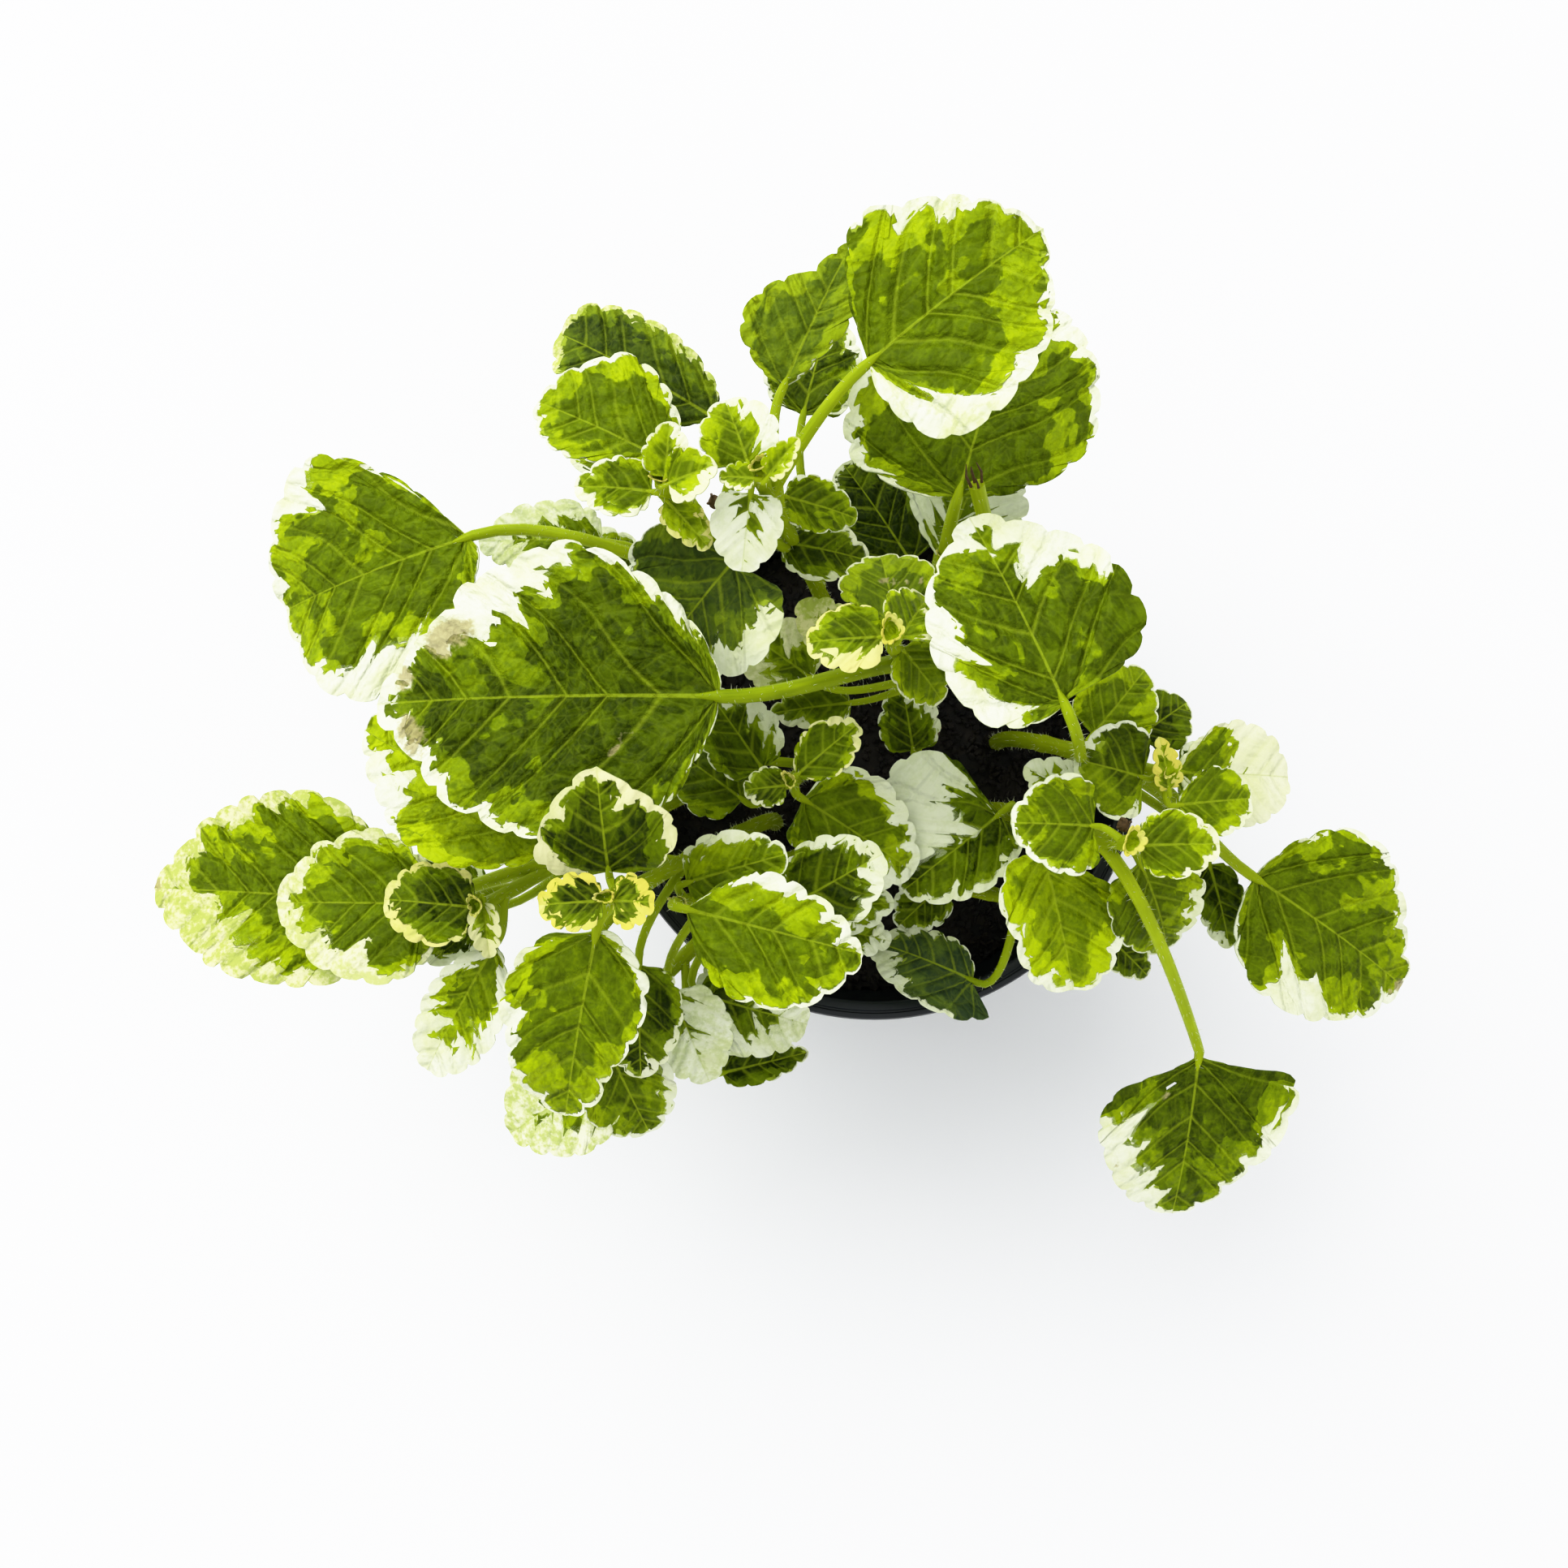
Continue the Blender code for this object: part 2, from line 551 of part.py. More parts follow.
def make_pot(group, material):
    lip_inner = POT_LIP_RADIUS - POT_LIP_FLANGE - POT_WALL
    band_low = POT_HEIGHT - POT_LIP_BAND
    shoulder = POT_HEIGHT - POT_SHOULDER_DROP
    profile = [
        (0.0, POT_FLOOR),
        (wall_radius(POT_FLOOR) - POT_WALL - POT_FOOT_ROUND, POT_FLOOR),
        (wall_radius(POT_FLOOR + POT_FOOT_ROUND) - POT_WALL, POT_FLOOR + POT_FOOT_ROUND),
        (wall_radius(shoulder) - POT_WALL - POT_SHOULDER_STEP, shoulder - 1.0),
        (wall_radius(shoulder) - POT_WALL, shoulder),
        (lip_inner, POT_HEIGHT - 0.6),
        (lip_inner + 0.6, POT_HEIGHT),
        (POT_LIP_RADIUS - 0.8, POT_HEIGHT),
        (POT_LIP_RADIUS, POT_HEIGHT - 0.8),
        (POT_LIP_RADIUS - 0.5, band_low),
        (POT_LIP_RADIUS - 0.5 - POT_WALL, band_low),
        (POT_LIP_RADIUS - POT_WALL, POT_HEIGHT - POT_WALL - 0.4),
        (wall_radius(POT_HEIGHT) + 0.1, POT_HEIGHT - POT_WALL - 0.4),
        (wall_radius(shoulder), shoulder),
        (wall_radius(shoulder) - POT_SHOULDER_STEP, shoulder - 1.0),
        (wall_radius(POT_FOOT_ROUND), POT_FOOT_ROUND),
        (wall_radius(0.0) - POT_FOOT_ROUND, 0.0),
        (0.0, 0.0),
    ]
    pot = turned("pot", profile, POT_SIDES, group)
    cutters = new_collection("pot_cutters")
    for number in range(DRAIN_COUNT):
        angle = 2 * math.pi * (number + 0.5) / DRAIN_COUNT
        place = (DRAIN_RING * math.cos(angle), DRAIN_RING * math.sin(angle))
        peg("drain_%d" % number, place, DRAIN_RADIUS, -2.0, POT_FLOOR + 2.0, DRAIN_SIDES,
            cutters)
    pot = cut(pot, cutters, group)
    pot.data.materials.clear()
    pot.data.materials.append(material)
    pot.data.shade_smooth()
    pot.data.set_sharp_from_angle(angle=math.radians(35.0))
    return pot


def make_mix(group, material):
    """The potting mix fills the pot below the lip, with a plain hole for every stem."""
    shoulder = POT_HEIGHT - POT_SHOULDER_DROP
    inset = POT_WALL + GAP
    low = POT_FLOOR + GAP
    profile = [
        (0.0, MIX_TOP + MIX_CROWN),
        (18.0, MIX_TOP + 0.7 * MIX_CROWN),
        (34.0, MIX_TOP + 0.2 * MIX_CROWN),
        (wall_radius(MIX_TOP) - inset - 0.6, MIX_TOP - 0.5),
        (wall_radius(MIX_TOP) - inset - 0.4, MIX_TOP - 1.5),
        (wall_radius(shoulder) - inset - 0.4, shoulder),
        (wall_radius(shoulder) - inset - POT_SHOULDER_STEP - 0.4, shoulder - 1.0),
        (wall_radius(low + POT_FOOT_ROUND) - inset - 0.4, low + POT_FOOT_ROUND),
        (wall_radius(low) - inset - POT_FOOT_ROUND - 0.4, low),
        (0.0, low),
    ]
    mix = turned("potting_mix", profile, MIX_SIDES, group)
    cutters = new_collection("mix_cutters")
    for name, stem in STEMS.items():
        peg(name + "_hole", stem.root, STEM_RADIUS + GAP, MIX_TOP - STEM_DEPTH - GAP,
            MIX_TOP + 6.0, HOLE_SIDES, cutters)
    mix = cut(mix, cutters, group)
    mix.data.materials.clear()
    mix.data.materials.append(material)
    return mix


def main():
    clear_scene()
    plant = new_collection("potted_swedish_ivy")
    make_pot(plant, new_material("black moulded plastic", (0.006, 0.008, 0.009), 0.42))
    make_mix(plant, new_material("moist potting mix", (0.03, 0.02, 0.012), 0.95))
    for name, stem in STEMS.items():
        material = new_material(name + " leaf", (0.22, 0.33, 0.02), 0.5)
        leafy_stem(name, stem, plant, material)


main()
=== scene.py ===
"""Looks of a potted, variegated Swedish ivy: fine leaves, hairy stalks, moist mix and a thin black pot."""

import json
import math
from collections import namedtuple
from functools import partial

import bmesh
import bpy
import numpy as np
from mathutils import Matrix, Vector

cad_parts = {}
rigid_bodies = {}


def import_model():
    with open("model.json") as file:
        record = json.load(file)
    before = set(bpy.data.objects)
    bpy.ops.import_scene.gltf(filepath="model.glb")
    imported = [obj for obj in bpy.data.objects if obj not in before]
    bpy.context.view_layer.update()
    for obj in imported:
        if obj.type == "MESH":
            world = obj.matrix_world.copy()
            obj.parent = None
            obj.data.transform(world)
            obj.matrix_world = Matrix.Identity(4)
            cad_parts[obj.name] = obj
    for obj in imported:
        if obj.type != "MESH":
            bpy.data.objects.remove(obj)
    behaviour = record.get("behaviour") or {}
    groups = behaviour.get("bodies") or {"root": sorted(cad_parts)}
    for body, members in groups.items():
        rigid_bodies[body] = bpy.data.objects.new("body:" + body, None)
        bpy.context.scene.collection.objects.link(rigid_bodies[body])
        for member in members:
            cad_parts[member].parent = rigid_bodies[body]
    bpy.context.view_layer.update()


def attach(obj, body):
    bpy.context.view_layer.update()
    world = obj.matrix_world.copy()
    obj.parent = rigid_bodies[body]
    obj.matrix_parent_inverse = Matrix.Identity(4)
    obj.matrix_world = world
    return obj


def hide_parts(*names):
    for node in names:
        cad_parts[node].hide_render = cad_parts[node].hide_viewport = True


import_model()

bl_info = {
    "name": "Potted Swedish Ivy",
    "version": (1, 0, 0),
    "blender": (4, 5, 0),
    "location": "View3D > Sidebar > Ivy",
    "description": "Builds the finished leaves, stems, potting mix and pot of a variegated Swedish ivy",
    "category": "Add Mesh",
}

MM = 0.001

# Pot, in millimetres, as its solid has it
POT_LIP_RADIUS = 55.0
POT_HEIGHT = 90.0
POT_LIP_BAND = 8.5
POT_LIP_FLANGE = 2.6
POT_FOOT_RADIUS = 38.0
POT_WALL = 1.2
POT_FLOOR = 1.6
POT_FOOT_ROUND = 2.5
POT_SHOULDER_DROP = 16.0
POT_SHOULDER_STEP = 1.0
DRAIN_COUNT = 8
DRAIN_RADIUS = 3.2
DRAIN_RING = 29.0

# Potting mix
GAP = 0.3
MIX_TOP = 77.0
MIX_CROWN = 2.0

# Stems: they swell where their leaf stalks leave, over a share of their run
STEM_RADIUS = 1.75
STEM_TOP_RADIUS = 1.15
STEM_DEPTH = 13.0
STEM_STRAIGHT = 3.0
STEM_STEPS = 26
STEM_SIDES = 12
SWELL_RADIUS = 0.22
SWELL_REACH = 0.018

# Leaf stalks: their radius grows with the length of the blade
STALK_STOP = 1.1
THINNEST_STALK = 0.6
THICKEST_STALK = 1.45
STALK_AT_NONE = 0.42
STALK_PER_LENGTH = 0.021
STALK_STEPS = 10
STALK_SIDES = 10
STALK_FOOT = 1.12
STALK_TAPER = 0.3
ARCH_READ_AT = 0.1

# A stalk's last points, under its blade: how far in, as a share of the blade's length and in
# millimetres, how far below its base, and the share of the stalk's radius
STALK_ENDS = ((0.0, 0.6, 0.15, 0.72), (0.05, 1.0, 0.35, 0.32))

# The plant is laid out along the sight lines of a lens above the pot. A place on the plant is
# given by where it is seen on a square picture and by its height over the pot's base.
PICTURE_SIZE = 1932.0
PICTURE_FOCUS = 1937.0
RIM_SEEN_AT = (1075.0, 923.0)
RIM_SEEN_RADIUS = 330.0
LENS_ELEVATION = math.radians(82.0)
LENS_SENSOR = 36.0

LENS_AIM = Vector((0.0, math.cos(LENS_ELEVATION), -math.sin(LENS_ELEVATION)))
LENS_UP = Vector((0.0, math.sin(LENS_ELEVATION), math.cos(LENS_ELEVATION)))
LENS_RIGHT = Vector((1.0, 0.0, 0.0))
RIM_DISTANCE = POT_LIP_RADIUS * PICTURE_FOCUS / RIM_SEEN_RADIUS
RIM_OFFSET_RIGHT = (RIM_SEEN_AT[0] - PICTURE_SIZE / 2) / PICTURE_FOCUS * RIM_DISTANCE
RIM_OFFSET_UP = (PICTURE_SIZE / 2 - RIM_SEEN_AT[1]) / PICTURE_FOCUS * RIM_DISTANCE
LENS_PLACE = (Vector((0.0, 0.0, POT_HEIGHT)) - LENS_AIM * RIM_DISTANCE
              - LENS_RIGHT * RIM_OFFSET_RIGHT - LENS_UP * RIM_OFFSET_UP)

# Outlines: where the blade is widest (below 1 is nearer the stalk), and how square it is at the
# stalk and at the tip (smaller is squarer)
OUTLINES = {
    "ovate": (0.72, 0.62, 0.62),
    "round": (0.74, 0.50, 0.50),
    "broad": (0.58, 0.56, 0.68),
    "spoon": (1.05, 0.85, 0.48),
    "kite": (0.54, 0.62, 0.90),
}

# A leaf: along is how far up its stem the stalk leaves, base and tip are (across, down, height),
# width is the blade's width over its length, roll in degrees lifts its right side, arch lifts its
# middle as a share of its length, fold lifts its margins as a slope, skew widens its right half
# and lobes draw the left and the right lower margin back past the stalk.
Leaf = namedtuple("Leaf", "along base tip width outline roll arch fold skew lobes",
                  defaults=("ovate", 0.0, 0.06, 0.08, 0.0, (0.06, 0.06)))

# A stem: root is its place in the mix (x, y in millimetres), top is (across, down, height)
Stem = namedtuple("Stem", "root top rise leaves")

# The look of a leaf: tone from deep (0) to bright (1) green, which is partly the leaf's own green
# and partly painted shade, set low on leaves that lie in shade under others, young from white (0)
# to yellow (1) margins, how many hundredths of the way to the midrib the pale margin reaches on the
# left and on the right, in even steps along the margin from the stalk to the tip, how mottled with
# green the pale margin is, and how grey the green is, which is partly the real grey-green of dull
# blades and partly painted sky sheen and painted shade
Look = namedtuple("Look", "tone young left right mottle grey", defaults=(0.15, 0.0))

STEMS = {
    "stem_back_left": Stem((-20, 18), (815, 592, 164), 30, [
        Leaf(0.58, (881, 516, 143), (690, 412, 139), 0.60, "spoon"),
        Leaf(0.72, (828, 572, 153), (663, 496, 150), 0.90, "round"),
        Leaf(0.88, (803, 606, 161), (708, 600, 159), 0.78, fold=0.2),
        Leaf(0.84, (821, 617, 159), (874, 676, 156), 0.62),
        Leaf(0.97, (820, 588, 166), (826, 519, 169), 0.90, fold=0.2),
        Leaf(0.97, (824, 596, 166), (884, 574, 169), 1.05, fold=0.25),
        Leaf(0.42, (576, 662, 128), (354, 752, 118), 1.20, "spoon", lobes=(0.12, 0.0)),
        Leaf(0.30, (742, 668, 116), (590, 668, 112), 0.62),
        Leaf(0.16, (790, 730, 101), (655, 690, 95), 0.82),
        Leaf(0.34, (795, 560, 108), (690, 505, 101), 0.85),
    ]),
    "stem_back": Stem((-8, 26), (935, 577, 168), 30, [
        Leaf(0.80, (1070, 447, 170), (1286, 282, 176), 1.06, "round", skew=0.08,
             lobes=(0.0, 0.26)),
        Leaf(0.70, (965, 477, 150), (1052, 296, 152), 0.60, "broad", skew=-0.3, lobes=(0.0, 0.0)),
        Leaf(0.88, (922, 572, 163), (894, 494, 162), 1.12, "round", fold=0.2),
        Leaf(0.97, (947, 587, 169), (985, 540, 172), 0.62, fold=0.4),
        Leaf(0.97, (930, 590, 168), (886, 588, 167), 0.80, fold=0.25),
        Leaf(0.90, (925, 608, 162), (914, 704, 156), 0.90, "round", lobes=(0.12, 0.12)),
        Leaf(0.62, (966, 612, 146), (1056, 640, 142), 0.72),
        Leaf(0.55, (964, 668, 138), (1071, 692, 133), 0.72),
        Leaf(0.50, (905, 690, 150), (815, 812, 136), 1.25, arch=0.1, lobes=(0.2, 0.1)),
        Leaf(0.28, (990, 510, 114), (1022, 390, 108), 0.80),
    ]),
    "stem_centre": Stem((12, 9), (1098, 780, 162), 32, [
        Leaf(0.62, (885, 858, 156), (465, 868, 150), 0.86, "broad", lobes=(0.05, 0.05)),
        Leaf(0.93, (1088, 785, 163), (994, 792, 160), 0.86, "round"),
        Leaf(0.93, (1110, 785, 160), (1142, 738, 152), 0.90, fold=0.3),
        Leaf(0.80, (1105, 768, 148), (1085, 686, 141), 1.10, "spoon"),
        Leaf(0.85, (1112, 800, 151), (1160, 864, 143), 0.78),
        Leaf(0.40, (1000, 836, 128), (910, 774, 124), 0.84),
        Leaf(0.50, (1042, 795, 134), (984, 742, 132), 0.80),
        Leaf(0.36, (1048, 866, 120), (948, 880, 116), 0.52),
        Leaf(0.25, (1125, 925, 110), (1110, 838, 114), 0.85),
        Leaf(0.22, (1190, 815, 104), (1255, 735, 100), 0.85),
    ]),
    "stem_inner": Stem((-12, -3), (972, 962, 136), 24, [
        Leaf(0.97, (982, 955, 137), (1057, 892, 140), 0.70, "spoon", fold=0.2),
        Leaf(0.97, (968, 968, 137), (917, 974, 136), 0.98, "round", fold=0.2),
        Leaf(0.78, (990, 985, 126), (1126, 1075, 116), 0.82),
        Leaf(0.70, (940, 948, 126), (872, 852, 124), 0.80),
        Leaf(0.60, (915, 985, 118), (832, 925, 114), 0.90),
        Leaf(0.30, (872, 925, 101), (735, 880, 96), 0.85),
    ]),
    "stem_front_left": Stem((-20, -14), (748, 1105, 164), 26, [
        Leaf(0.98, (742, 1110, 165), (664, 1115, 164), 0.90, "round", fold=0.15),
        Leaf(0.98, (756, 1110, 165), (806, 1112, 165), 1.35, "round", fold=0.15),
        Leaf(0.88, (750, 1074, 158), (735, 945, 168), 1.10, "broad", lobes=(0.16, 0.16)),
        Leaf(0.86, (735, 1148, 156), (697, 1374, 140), 0.70),
        Leaf(0.55, (787, 1190, 130), (790, 1328, 122), 0.72),
        Leaf(0.60, (692, 1042, 138), (450, 900, 130), 0.74),
        Leaf(0.34, (732, 1165, 114), (676, 1285, 107), 0.76),
    ]),
    "stem_left": Stem((-32, -6), (590, 1115, 128), 22, [
        Leaf(0.62, (475, 1110, 108), (191, 1094, 100), 0.78, lobes=(0.12, 0.12)),
        Leaf(0.78, (530, 1114, 117), (341, 1112, 112), 0.90, lobes=(0.12, 0.12)),
        Leaf(0.96, (584, 1118, 127), (474, 1108, 124), 0.88, "round", fold=0.15),
        Leaf(0.96, (596, 1112, 128), (604, 1180, 124), 0.60, fold=0.5),
        Leaf(0.82, (610, 1164, 118), (527, 1318, 108), 0.54, "spoon", skew=-0.15),
        Leaf(0.45, (600, 1118, 98), (455, 1122, 90), 0.85),
    ]),
    "stem_front": Stem((-10, -20), (838, 1112, 142), 24, [
        Leaf(0.90, (846, 1088, 142), (970, 1052, 144), 0.74, "round"),
        Leaf(0.97, (845, 1120, 150), (1063, 1176, 148), 0.74),
        Leaf(0.75, (982, 1112, 131), (1088, 1052, 134), 0.95, "round"),
        Leaf(0.55, (988, 1122, 118), (1102, 1112, 115), 0.62),
        Leaf(0.45, (1010, 1140, 108), (1098, 1160, 106), 0.70),
        Leaf(0.70, (828, 1222, 118), (874, 1332, 108), 0.80),
        Leaf(0.50, (872, 1228, 110), (994, 1262, 102), 0.86, "round"),
        Leaf(0.26, (912, 1180, 99), (900, 1300, 93), 0.80),
    ]),
    "stem_low_front": Stem((-24, -28), (770, 1250, 118), 18, [
        Leaf(0.90, (745, 1318, 118), (630, 1396, 108), 0.90),
        Leaf(0.95, (756, 1306, 122), (800, 1394, 114), 1.05, "round"),
        Leaf(0.55, (890, 1322, 92), (996, 1296, 88), 0.42),
    ]),
    "stem_right": Stem((22, -12), (1392, 1038, 150), 26, [
        Leaf(0.93, (1348, 1018, 147), (1246, 1014, 152), 1.10, "round", lobes=(0.12, 0.12)),
        Leaf(0.95, (1404, 1042, 149), (1502, 1040, 148), 0.84, "round", fold=0.15),
        Leaf(0.70, (1286, 1052, 132), (1322, 1219, 124), 0.80),
        Leaf(0.80, (1405, 1064, 134), (1450, 1182, 124), 0.88),
        Leaf(0.72, (1477, 1303, 100), (1444, 1494, 82), 1.02, "kite", arch=0.05,
             lobes=(0.0, 0.0)),
        Leaf(0.60, (1335, 985, 126), (1262, 944, 126), 0.80),
        Leaf(0.40, (1362, 1152, 108), (1413, 1202, 102), 0.62),
        Leaf(0.28, (1232, 1003, 116), (1112, 1098, 112), 1.24, "round", skew=0.34,
             lobes=(0.1, 0.1)),
        Leaf(0.22, (1290, 1090, 103), (1312, 1190, 97), 0.85),
    ]),
    "stem_back_right": Stem((27, 3), (1437, 950, 138), 22, [
        Leaf(0.70, (1312, 868, 160), (1194, 638, 156), 0.90, lobes=(0.1, 0.0)),
        Leaf(0.92, (1408, 958, 138), (1324, 936, 142), 1.28, "round", lobes=(0.12, 0.12)),
        Leaf(0.97, (1452, 992, 136), (1541, 984, 134), 0.90, "spoon", fold=0.12),
        Leaf(0.95, (1452, 952, 130), (1586, 958, 122), 0.82, "spoon"),
        Leaf(0.97, (1440, 972, 138), (1428, 908, 142), 0.52, fold=0.3),
        Leaf(0.55, (1347, 905, 114), (1410, 826, 110), 0.92),
        Leaf(0.45, (1406, 905, 104), (1462, 866, 100), 1.0),
        Leaf(0.72, (1547, 1082, 112), (1726, 1214, 100), 0.90, lobes=(0.0, 0.0)),
        Leaf(0.50, (1490, 1066, 98), (1514, 1168, 90), 0.52),
        Leaf(0.36, (1450, 960, 104), (1565, 968, 97), 0.82),
        Leaf(0.34, (1560, 1090, 97), (1672, 1180, 89), 0.82),
    ]),
    "stem_far_right": Stem((10, 26), (1163, 688, 124), 18, [
        Leaf(0.98, (1180, 612, 134), (1250, 372, 126), 1.12, "broad", skew=-0.08,
             lobes=(0.1, 0.0)),
        Leaf(0.90, (1160, 692, 114), (1215, 556, 108), 0.88, "spoon", lobes=(0.0, 0.0)),
        Leaf(0.55, (1122, 692, 98), (1038, 572, 94), 0.76),
        Leaf(0.50, (1178, 560, 100), (1205, 440, 94), 0.85),
    ]),
    "stem_front_right": Stem((12, -27), (1262, 1108, 112), 16, [
        Leaf(0.60, (1160, 1090, 102), (1106, 1142, 98), 0.90),
        Leaf(0.90, (1198, 1208, 104), (1072, 1160, 98), 0.72, roll=-20.0, skew=-0.2,
             lobes=(0.42, 0.0)),
    ]),
}

# A cut stalk: how far up its stem it leaves, and its middle and end as (across, down, height)
CUT_STALKS = {
    "stem_far_right": (0.80, (1217, 655, 138), (1203, 597, 147)),
}
CUT_STALK_RADIUS = 1.45
CUT_STALK_TONE = 0.9

# Left and right margins of the most visible leaves, from the stalk to the tip, as (across, down)
MARGINS = {
    ("stem_back", 0): (
        ((1056, 404), (1047, 362), (1045, 323), (1051, 293), (1070, 273), (1095, 268), (1122, 259),
         (1149, 251), (1176, 250), (1203, 253), (1234, 257), (1261, 268), (1276, 279)),
        ((1080, 481), (1103, 508), (1130, 529), (1161, 543), (1192, 537), (1226, 518), (1245, 498),
         (1265, 472), (1284, 443), (1293, 416), (1298, 385), (1295, 354), (1292, 323), (1288, 300)),
    ),
    ("stem_back", 1): (
        ((940, 460), (920, 428), (914, 403), (930, 375), (962, 352), (1000, 338), (1032, 312)),
        ((985, 468), (1003, 452), (1035, 420), (1052, 390), (1058, 350), (1058, 318)),
    ),
    ("stem_far_right", 0): (
        ((1145, 614), (1113, 605), (1076, 589), (1049, 570), (1040, 543), (1043, 512), (1057, 481),
         (1070, 458), (1095, 427), (1134, 400), (1184, 379), (1218, 370)),
        ((1222, 614), (1261, 608), (1299, 595), (1330, 570), (1343, 539), (1348, 504), (1347, 473),
         (1340, 450), (1328, 423), (1317, 400), (1299, 385), (1276, 375)),
    ),
    ("stem_back_right", 0): (
        ((1295, 883), (1276, 893), (1253, 898), (1222, 897), (1195, 881), (1176, 858), (1159, 837),
         (1147, 812), (1142, 785), (1140, 754), (1145, 727), (1153, 704), (1165, 683), (1174, 662),
         (1185, 647)),
        ((1326, 848), (1357, 837), (1388, 816), (1403, 793), (1407, 770), (1399, 747), (1386, 729),
         (1374, 710), (1357, 692), (1338, 677), (1317, 667), (1295, 659), (1276, 655), (1257, 650),
         (1238, 644), (1215, 637)),
    ),
    ("stem_centre", 0): (
        ((884, 881), (876, 905), (862, 932), (847, 960), (835, 981), (818, 1000), (788, 1013),
         (747, 1026), (702, 1032), (661, 1035), (626, 1027), (592, 1008), (566, 995), (545, 981),
         (533, 960), (518, 938), (502, 922), (483, 903), (469, 886)),
        ((889, 839), (878, 808), (859, 776), (837, 748), (806, 722), (774, 703), (750, 690),
         (726, 683), (699, 681), (674, 688), (650, 697), (626, 707), (602, 719), (581, 731),
         (568, 751), (554, 770), (533, 782), (518, 800), (506, 817), (490, 832), (474, 850)),
    ),
    ("stem_back_left", 6): (
        ((590, 675), (590, 703), (582, 737), (568, 775), (540, 818), (501, 849), (466, 864),
         (425, 858), (392, 834), (370, 799), (359, 775)),
        ((568, 652), (540, 627), (511, 603), (473, 584), (440, 574), (406, 570), (378, 582),
         (363, 606), (349, 630), (342, 656), (339, 682), (339, 708), (344, 732)),
    ),
    ("stem_back_left", 1): (
        ((797, 574), (759, 575), (716, 571), (687, 560), (673, 546), (663, 530), (659, 512)),
        ((839, 537), (835, 508), (820, 480), (797, 457), (770, 445), (744, 448), (718, 455),
         (694, 468), (675, 482)),
    ),
    ("stem_back_left", 0): (
        ((844, 527), (787, 518), (735, 494), (694, 470), (683, 449), (685, 427)),
        ((887, 489), (875, 465), (856, 441), (830, 420), (801, 402), (773, 388), (740, 381),
         (713, 387), (699, 400)),
    ),
    ("stem_back_right", 7): (
        ((1553, 1070), (1569, 1055), (1590, 1038), (1621, 1025), (1647, 1020), (1669, 1028),
         (1686, 1042), (1699, 1062), (1709, 1083), (1716, 1105), (1722, 1127), (1725, 1151),
         (1727, 1173), (1730, 1194)),
        ((1532, 1101), (1523, 1127), (1517, 1160), (1523, 1188), (1534, 1214), (1556, 1231),
         (1577, 1243), (1599, 1251), (1621, 1253), (1645, 1252), (1669, 1250), (1690, 1242),
         (1712, 1229)),
    ),
    ("stem_right", 4): (
        ((1499, 1307), (1530, 1312), (1560, 1316), (1591, 1323), (1593, 1347), (1580, 1375),
         (1564, 1401), (1543, 1423), (1521, 1444), (1495, 1466), (1469, 1483)),
        ((1451, 1312), (1430, 1320), (1403, 1326), (1377, 1336), (1362, 1353), (1352, 1379),
         (1358, 1410), (1369, 1440), (1382, 1460), (1399, 1476), (1421, 1488)),
    ),
    ("stem_left", 0): (
        ((475, 1143), (465, 1173), (443, 1198), (417, 1211), (393, 1214), (367, 1214), (340, 1210),
         (313, 1205), (290, 1195), (267, 1185), (247, 1168), (228, 1152), (212, 1137), (198, 1117)),
        ((473, 1080), (469, 1047), (460, 1023), (442, 1001), (413, 984), (380, 978), (350, 981),
         (323, 988), (300, 998), (275, 1008), (253, 1022), (238, 1042), (220, 1055), (207, 1070),
         (197, 1082)),
    ),
    ("stem_left", 1): (
        ((542, 1143), (533, 1170), (517, 1193), (493, 1209), (470, 1212), (447, 1207), (420, 1200),
         (393, 1187), (377, 1168), (360, 1153), (350, 1137)),
        ((542, 1083), (528, 1063), (508, 1043), (488, 1028), (467, 1024), (443, 1027), (420, 1037),
         (397, 1043), (380, 1060), (362, 1073), (350, 1090)),
    ),
    ("stem_front_left", 3): (
        ((752, 1147), (772, 1162), (790, 1187), (800, 1210), (799, 1230), (795, 1250), (787, 1268),
         (775, 1288), (760, 1308), (748, 1330), (735, 1352), (715, 1368)),
        ((710, 1149), (680, 1149), (653, 1161), (637, 1183), (626, 1210), (624, 1238), (630, 1263),
         (633, 1287), (640, 1308), (648, 1328), (662, 1345), (675, 1362)),
    ),
    ("stem_front_left", 2): (
        ((717, 1077), (687, 1073), (665, 1057), (661, 1035), (667, 1017), (672, 1000), (683, 983),
         (698, 968), (715, 953)),
        ((787, 1073), (813, 1060), (829, 1040), (834, 1018), (828, 1002), (817, 991), (804, 980),
         (790, 972), (773, 962), (753, 955)),
    ),
    ("stem_front", 1): (
        ((867, 1105), (890, 1089), (917, 1077), (943, 1077), (965, 1083), (983, 1093), (1002, 1104),
         (1020, 1115), (1035, 1130), (1047, 1147), (1057, 1162)),
        ((852, 1153), (863, 1183), (880, 1210), (900, 1227), (927, 1237), (950, 1241), (977, 1242),
         (1000, 1236), (1023, 1223), (1042, 1207), (1057, 1191)),
    ),
    ("stem_front_left", 5): (
        ((663, 1060), (640, 1067), (610, 1071), (573, 1072), (543, 1065), (520, 1051), (502, 1033),
         (487, 1017), (478, 997), (470, 977), (462, 958), (456, 937), (451, 917)),
        ((680, 1003), (653, 960), (613, 923), (567, 897), (517, 880), (473, 880)),
    ),
    ("stem_right", 2): (
        ((1330, 1070), (1360, 1086), (1375, 1107), (1378, 1140), (1374, 1170), (1362, 1199),
         (1343, 1216)),
        ((1249, 1057), (1234, 1083), (1230, 1118), (1247, 1153), (1256, 1183), (1273, 1207),
         (1297, 1219)),
    ),
}
